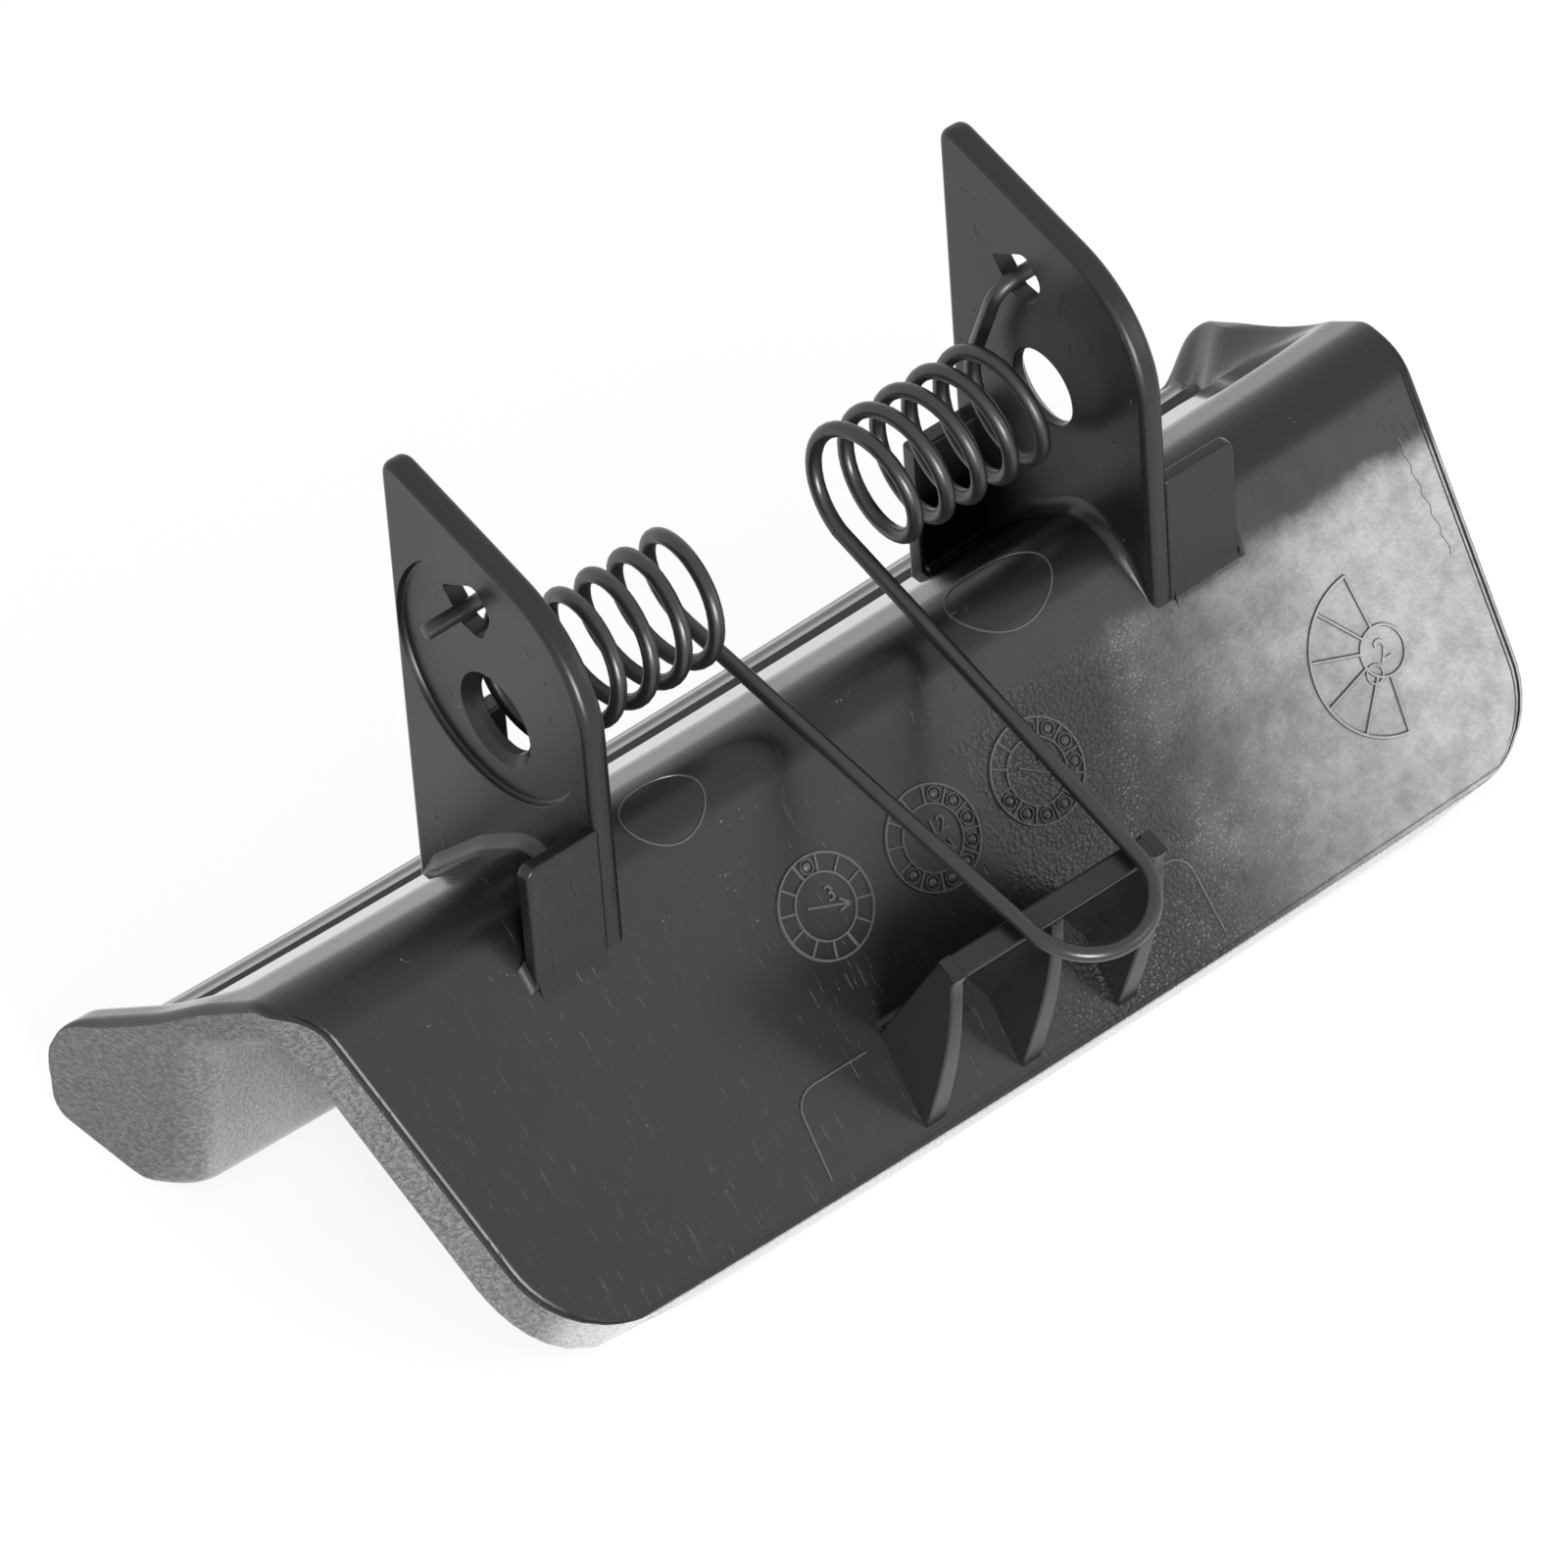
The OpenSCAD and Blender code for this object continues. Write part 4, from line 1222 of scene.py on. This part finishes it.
class Winding:
    """Where the spring's wire runs."""

    def __init__(self, section, e, p):
        self.p, self.e = p, e
        _, crest, _, slope = crest_place(section, p)
        self.centre = Vector((p.back, p.up))
        self.down_leg = heading(180 + slope)
        self.leg_angle = slope - 90
        self.leg_root = self.centre + heading(self.leg_angle) * p.coil
        self.bend_at = (crest - self.leg_root).dot(self.down_leg) + p.overhang
        to_hole = Vector((e.hole_back, e.hole_up)) - self.centre
        leave = math.degrees(math.atan2(to_hole.y, to_hole.x) - math.acos(p.coil / to_hole.length))
        self.turns = p.turns + (leave - self.leg_angle) / 360
        self.coil_end = p.start + p.pitch * self.turns
        self.end_leg = math.sqrt(to_hole.length ** 2 - p.coil ** 2)
        self.leave_point = self.centre + heading(leave) * p.coil
        self.up_end = heading(leave + 90)

    def on_leg(self, x, s):
        y, z = self.leg_root + self.down_leg * s
        return Vector((x, y, z))

    def on_coil(self, side, turn):
        y, z = self.centre + heading(self.leg_angle + 360 * turn) * self.p.coil
        return Vector((side * (self.p.start + self.p.pitch * turn), y, z))

    def on_end(self, side, x, s):
        y, z = self.leave_point + self.up_end * s
        return Vector((side * x, y, z))

    def loop_path(self):
        """The two legs and the U between them."""
        p, path = self.p, []
        half = p.loop / 2
        for side in SIDES:
            leg = []
            for i in range(13):
                t = i / 12
                x = side * p.start + (p.shift + side * half - side * p.start) * t
                leg.append(self.on_leg(x, self.bend_at * t))
            path.append(leg)
        bend = [self.on_leg(p.shift - half * math.cos(math.radians(7.5 * i)),
                            self.bend_at + half * math.sin(math.radians(7.5 * i))) for i in range(1, 24)]
        return path[0] + bend + path[1][::-1]

    def coil_path(self, side, rings=36):
        """One coil with its end leg, from the loop's leg out to the wire's end."""
        p = self.p
        count = math.ceil(self.turns * rings)
        path = [self.on_coil(side, self.turns * i / count) for i in range(count + 1)]
        path += [self.on_end(side, self.coil_end, (self.end_leg - p.end_bend) * t) for t in (0.25, 0.5, 0.75)]
        for i in range(9):
            a = math.radians(90 * i / 8)
            path.append(self.on_end(side, self.coil_end + p.end_bend * (1 - math.cos(a)),
                                    self.end_leg - p.end_bend * (1 - math.sin(a))))
        tip = self.e.inner + self.e.wall + p.end_reach
        return path + [self.on_end(side, x, self.end_leg) for x in (tip - 2.0, tip - 0.14, tip - 0.05, tip)]


# --- Operators ---

def finished(piece, body, replaced):
    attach(piece, body)
    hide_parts(replaced)
    return {"FINISHED"}


class HANDLE_OT_moulding(Operator):
    """Build the one-piece moulding: shell, ears, stops, flanges, spring rest and marks"""
    bl_idname = "handle.moulding"
    bl_label = "Moulding"

    def execute(self, context):
        shell, ears, spring = sizes()
        section = Section(shell)
        parts = [shell_shape(section)]
        one_side = [ear_shape(section, ears)] + ear_root_fillets(section, ears)
        one_side += stop_shape(section, ears) + flange_shape(section, ears)
        parts += [mirrored(part) for part in one_side] + one_side
        marks = mark_shapes(section)
        for mark in marks:
            for face in mark.faces:
                face.material_index = MARK
        parts += rest_shapes(section, spring) + marks
        piece = place_object("handle_moulding", gathered(parts), finishes()[:3])
        level = piece.modifiers.new("flat_faces", "WEIGHTED_NORMAL")
        level.keep_sharp = True
        return finished(piece, "handle_body", "handle")


class HANDLE_OT_spring(Operator):
    """Build the return spring: its loop, and a coil at each side"""
    bl_idname = "handle.spring"
    bl_label = "Return spring"

    def execute(self, context):
        shell, ears, spring = sizes()
        winding = Winding(Section(shell), ears, spring)
        wire = finishes()[3]
        radius = spring.wire / 2
        loop = winding.loop_path()
        piece = place_object("spring_loop", wire_shape(loop, [radius] * len(loop)), [wire])
        finished(piece, "spring_body", "return_spring")
        for side, name in ((-1, "spring_coil_left"), (1, "spring_coil_right")):
            path = winding.coil_path(side)
            radii = [radius] * (len(path) - 2) + [radius * 0.96, radius * 0.8]
            coil = place_object(name, wire_shape(path, radii), [wire])
            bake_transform(coil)
            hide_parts("return_spring")
        return {"FINISHED"}


class HANDLE_OT_stage(Operator):
    """Set the pale floor, the world, the soft lamps and the camera"""
    bl_idname = "handle.stage"
    bl_label = "Stage"

    def execute(self, context):
        scene = context.scene
        scene.view_settings.view_transform = "Standard"
        add_floor(scene)
        add_world(scene)
        add_area("key_softbox", (0.6, -0.76, 0.25), distance=0.29, size=0.1, radiance=2.5)
        add_area("low_front", (-0.35, -0.93, 0.08), distance=0.8, size=0.3, radiance=30.0)
        add_camera(scene)
        return {"FINISHED"}


def camera_white(tree):
    """1 where a ray comes from the camera or from gloss or glass, 0 where it lights the object."""
    path = node(tree, "ShaderNodeLightPath").outputs
    return reckon(tree, "ADD", path["Is Camera Ray"], path["Is Glossy Ray"], path["Is Transmission Ray"],
                  clamp=True)


def add_floor(scene):
    """A plain floor that catches the part's shadow and runs into the white world behind."""
    bm = bmesh.new()
    bmesh.ops.create_grid(bm, x_segments=1, y_segments=1, size=6000.0)
    bmesh.ops.translate(bm, vec=(0, 0, -scene.handle_shell.pivot_height - 0.02), verts=bm.verts)
    material, tree, shader = new_material("pale_floor", scene.handle_colours.floor, 0.9)
    shader["Specular IOR Level"].default_value = 0.0
    pale = node(tree, "ShaderNodeBsdfDiffuse", Color=(0.3, 0.3, 0.3, 1.0))
    glow = node(tree, "ShaderNodeEmission", Strength=0.82)
    seen = node(tree, "ShaderNodeAddShader")
    mix = node(tree, "ShaderNodeMixShader", Fac=camera_white(tree))
    surface = tree.nodes["Material Output"].inputs["Surface"]
    for source, target in ((pale, seen.inputs[0]), (glow, seen.inputs[1]), (seen, mix.inputs[2]),
                           (tree.nodes["Principled BSDF"], mix.inputs[1]), (mix, surface)):
        put(tree, source.outputs[0], target)
    place_object("floor", bm, [material])


def add_world(scene):
    """A white world that lights the part less than it shows."""
    world = bpy.data.worlds.new("studio")
    world.use_nodes = True
    scene.world = world
    tree = world.node_tree
    background = tree.nodes["Background"]
    background.inputs["Color"].default_value = (1.0, 1.0, 1.0, 1.0)
    strength = node(tree, "ShaderNodeMapRange", Value=camera_white(tree), To_Min=0.6, To_Max=1.0)
    put(tree, strength.outputs["Result"], background.inputs["Strength"])


def add_area(name, direction, distance, size, radiance):
    """A square lamp that faces the part; radiance is as a share of white."""
    data = bpy.data.lights.new(name, "AREA")
    data.shape = "SQUARE"
    data.size = size
    data.energy = radiance * math.pi * size * size
    place = Vector(direction).normalized() * distance
    turn = place.to_track_quat("Z", "Y").to_matrix().to_4x4()
    new_object(name, data).matrix_world = Matrix.Translation(place) @ turn


# Where the camera looks from, its own axes, and its focal length in picture widths
CAMERA_PLACE = (-438.52, -572.16, 640.20)
CAMERA_RIGHT = (0.7609, -0.6465, -0.0559)
CAMERA_BACK = (-0.448, -0.586, 0.676)
CAMERA_FOCUS = 9.64


def add_camera(scene):
    """The camera at its place, turned to its own axes."""
    back = Vector(CAMERA_BACK).normalized()
    right = Vector(CAMERA_RIGHT)
    right = (right - back * right.dot(back)).normalized()
    up = back.cross(right)
    data = bpy.data.cameras.new("camera")
    data.sensor_width = 36.0
    data.lens = CAMERA_FOCUS * data.sensor_width
    data.clip_start = 0.05
    data.clip_end = 50.0
    turn = Matrix((right, up, back)).transposed().to_4x4()
    scene.camera = new_object("camera", data)
    scene.camera.matrix_world = Matrix.Translation(Vector(CAMERA_PLACE) * MM) @ turn


class HANDLE_PT_panel(Panel):
    """Lists what the script builds"""
    bl_label = "Sprung pull handle"
    bl_idname = "HANDLE_PT_panel"
    bl_space_type = "VIEW_3D"
    bl_region_type = "UI"
    bl_category = "Handle"

    def draw(self, context):
        for operator in OPERATORS:
            self.layout.operator(operator.bl_idname)
        for group in ("handle_shell", "handle_ears", "handle_spring", "handle_colours"):
            column = self.layout.column(align=True)
            settings = getattr(context.scene, group)
            for name in type(settings).__annotations__:
                column.prop(settings, name)


OPERATORS = (HANDLE_OT_moulding, HANDLE_OT_spring, HANDLE_OT_stage)
GROUPS = {"handle_shell": ShellSizes, "handle_ears": EarSizes,
          "handle_spring": SpringSizes, "handle_colours": FinishColours}


def register():
    for cls in (*GROUPS.values(), *OPERATORS, HANDLE_PT_panel):
        bpy.utils.register_class(cls)
    for name, group in GROUPS.items():
        setattr(bpy.types.Scene, name, PointerProperty(type=group))


def unregister():
    for name in GROUPS:
        delattr(bpy.types.Scene, name)
    for cls in (HANDLE_PT_panel, *reversed(OPERATORS), *reversed(list(GROUPS.values()))):
        bpy.utils.unregister_class(cls)


def main():
    register()
    bpy.ops.handle.moulding()
    bpy.ops.handle.spring()
    bpy.ops.handle.stage()


if __name__ == "__main__":
    main()
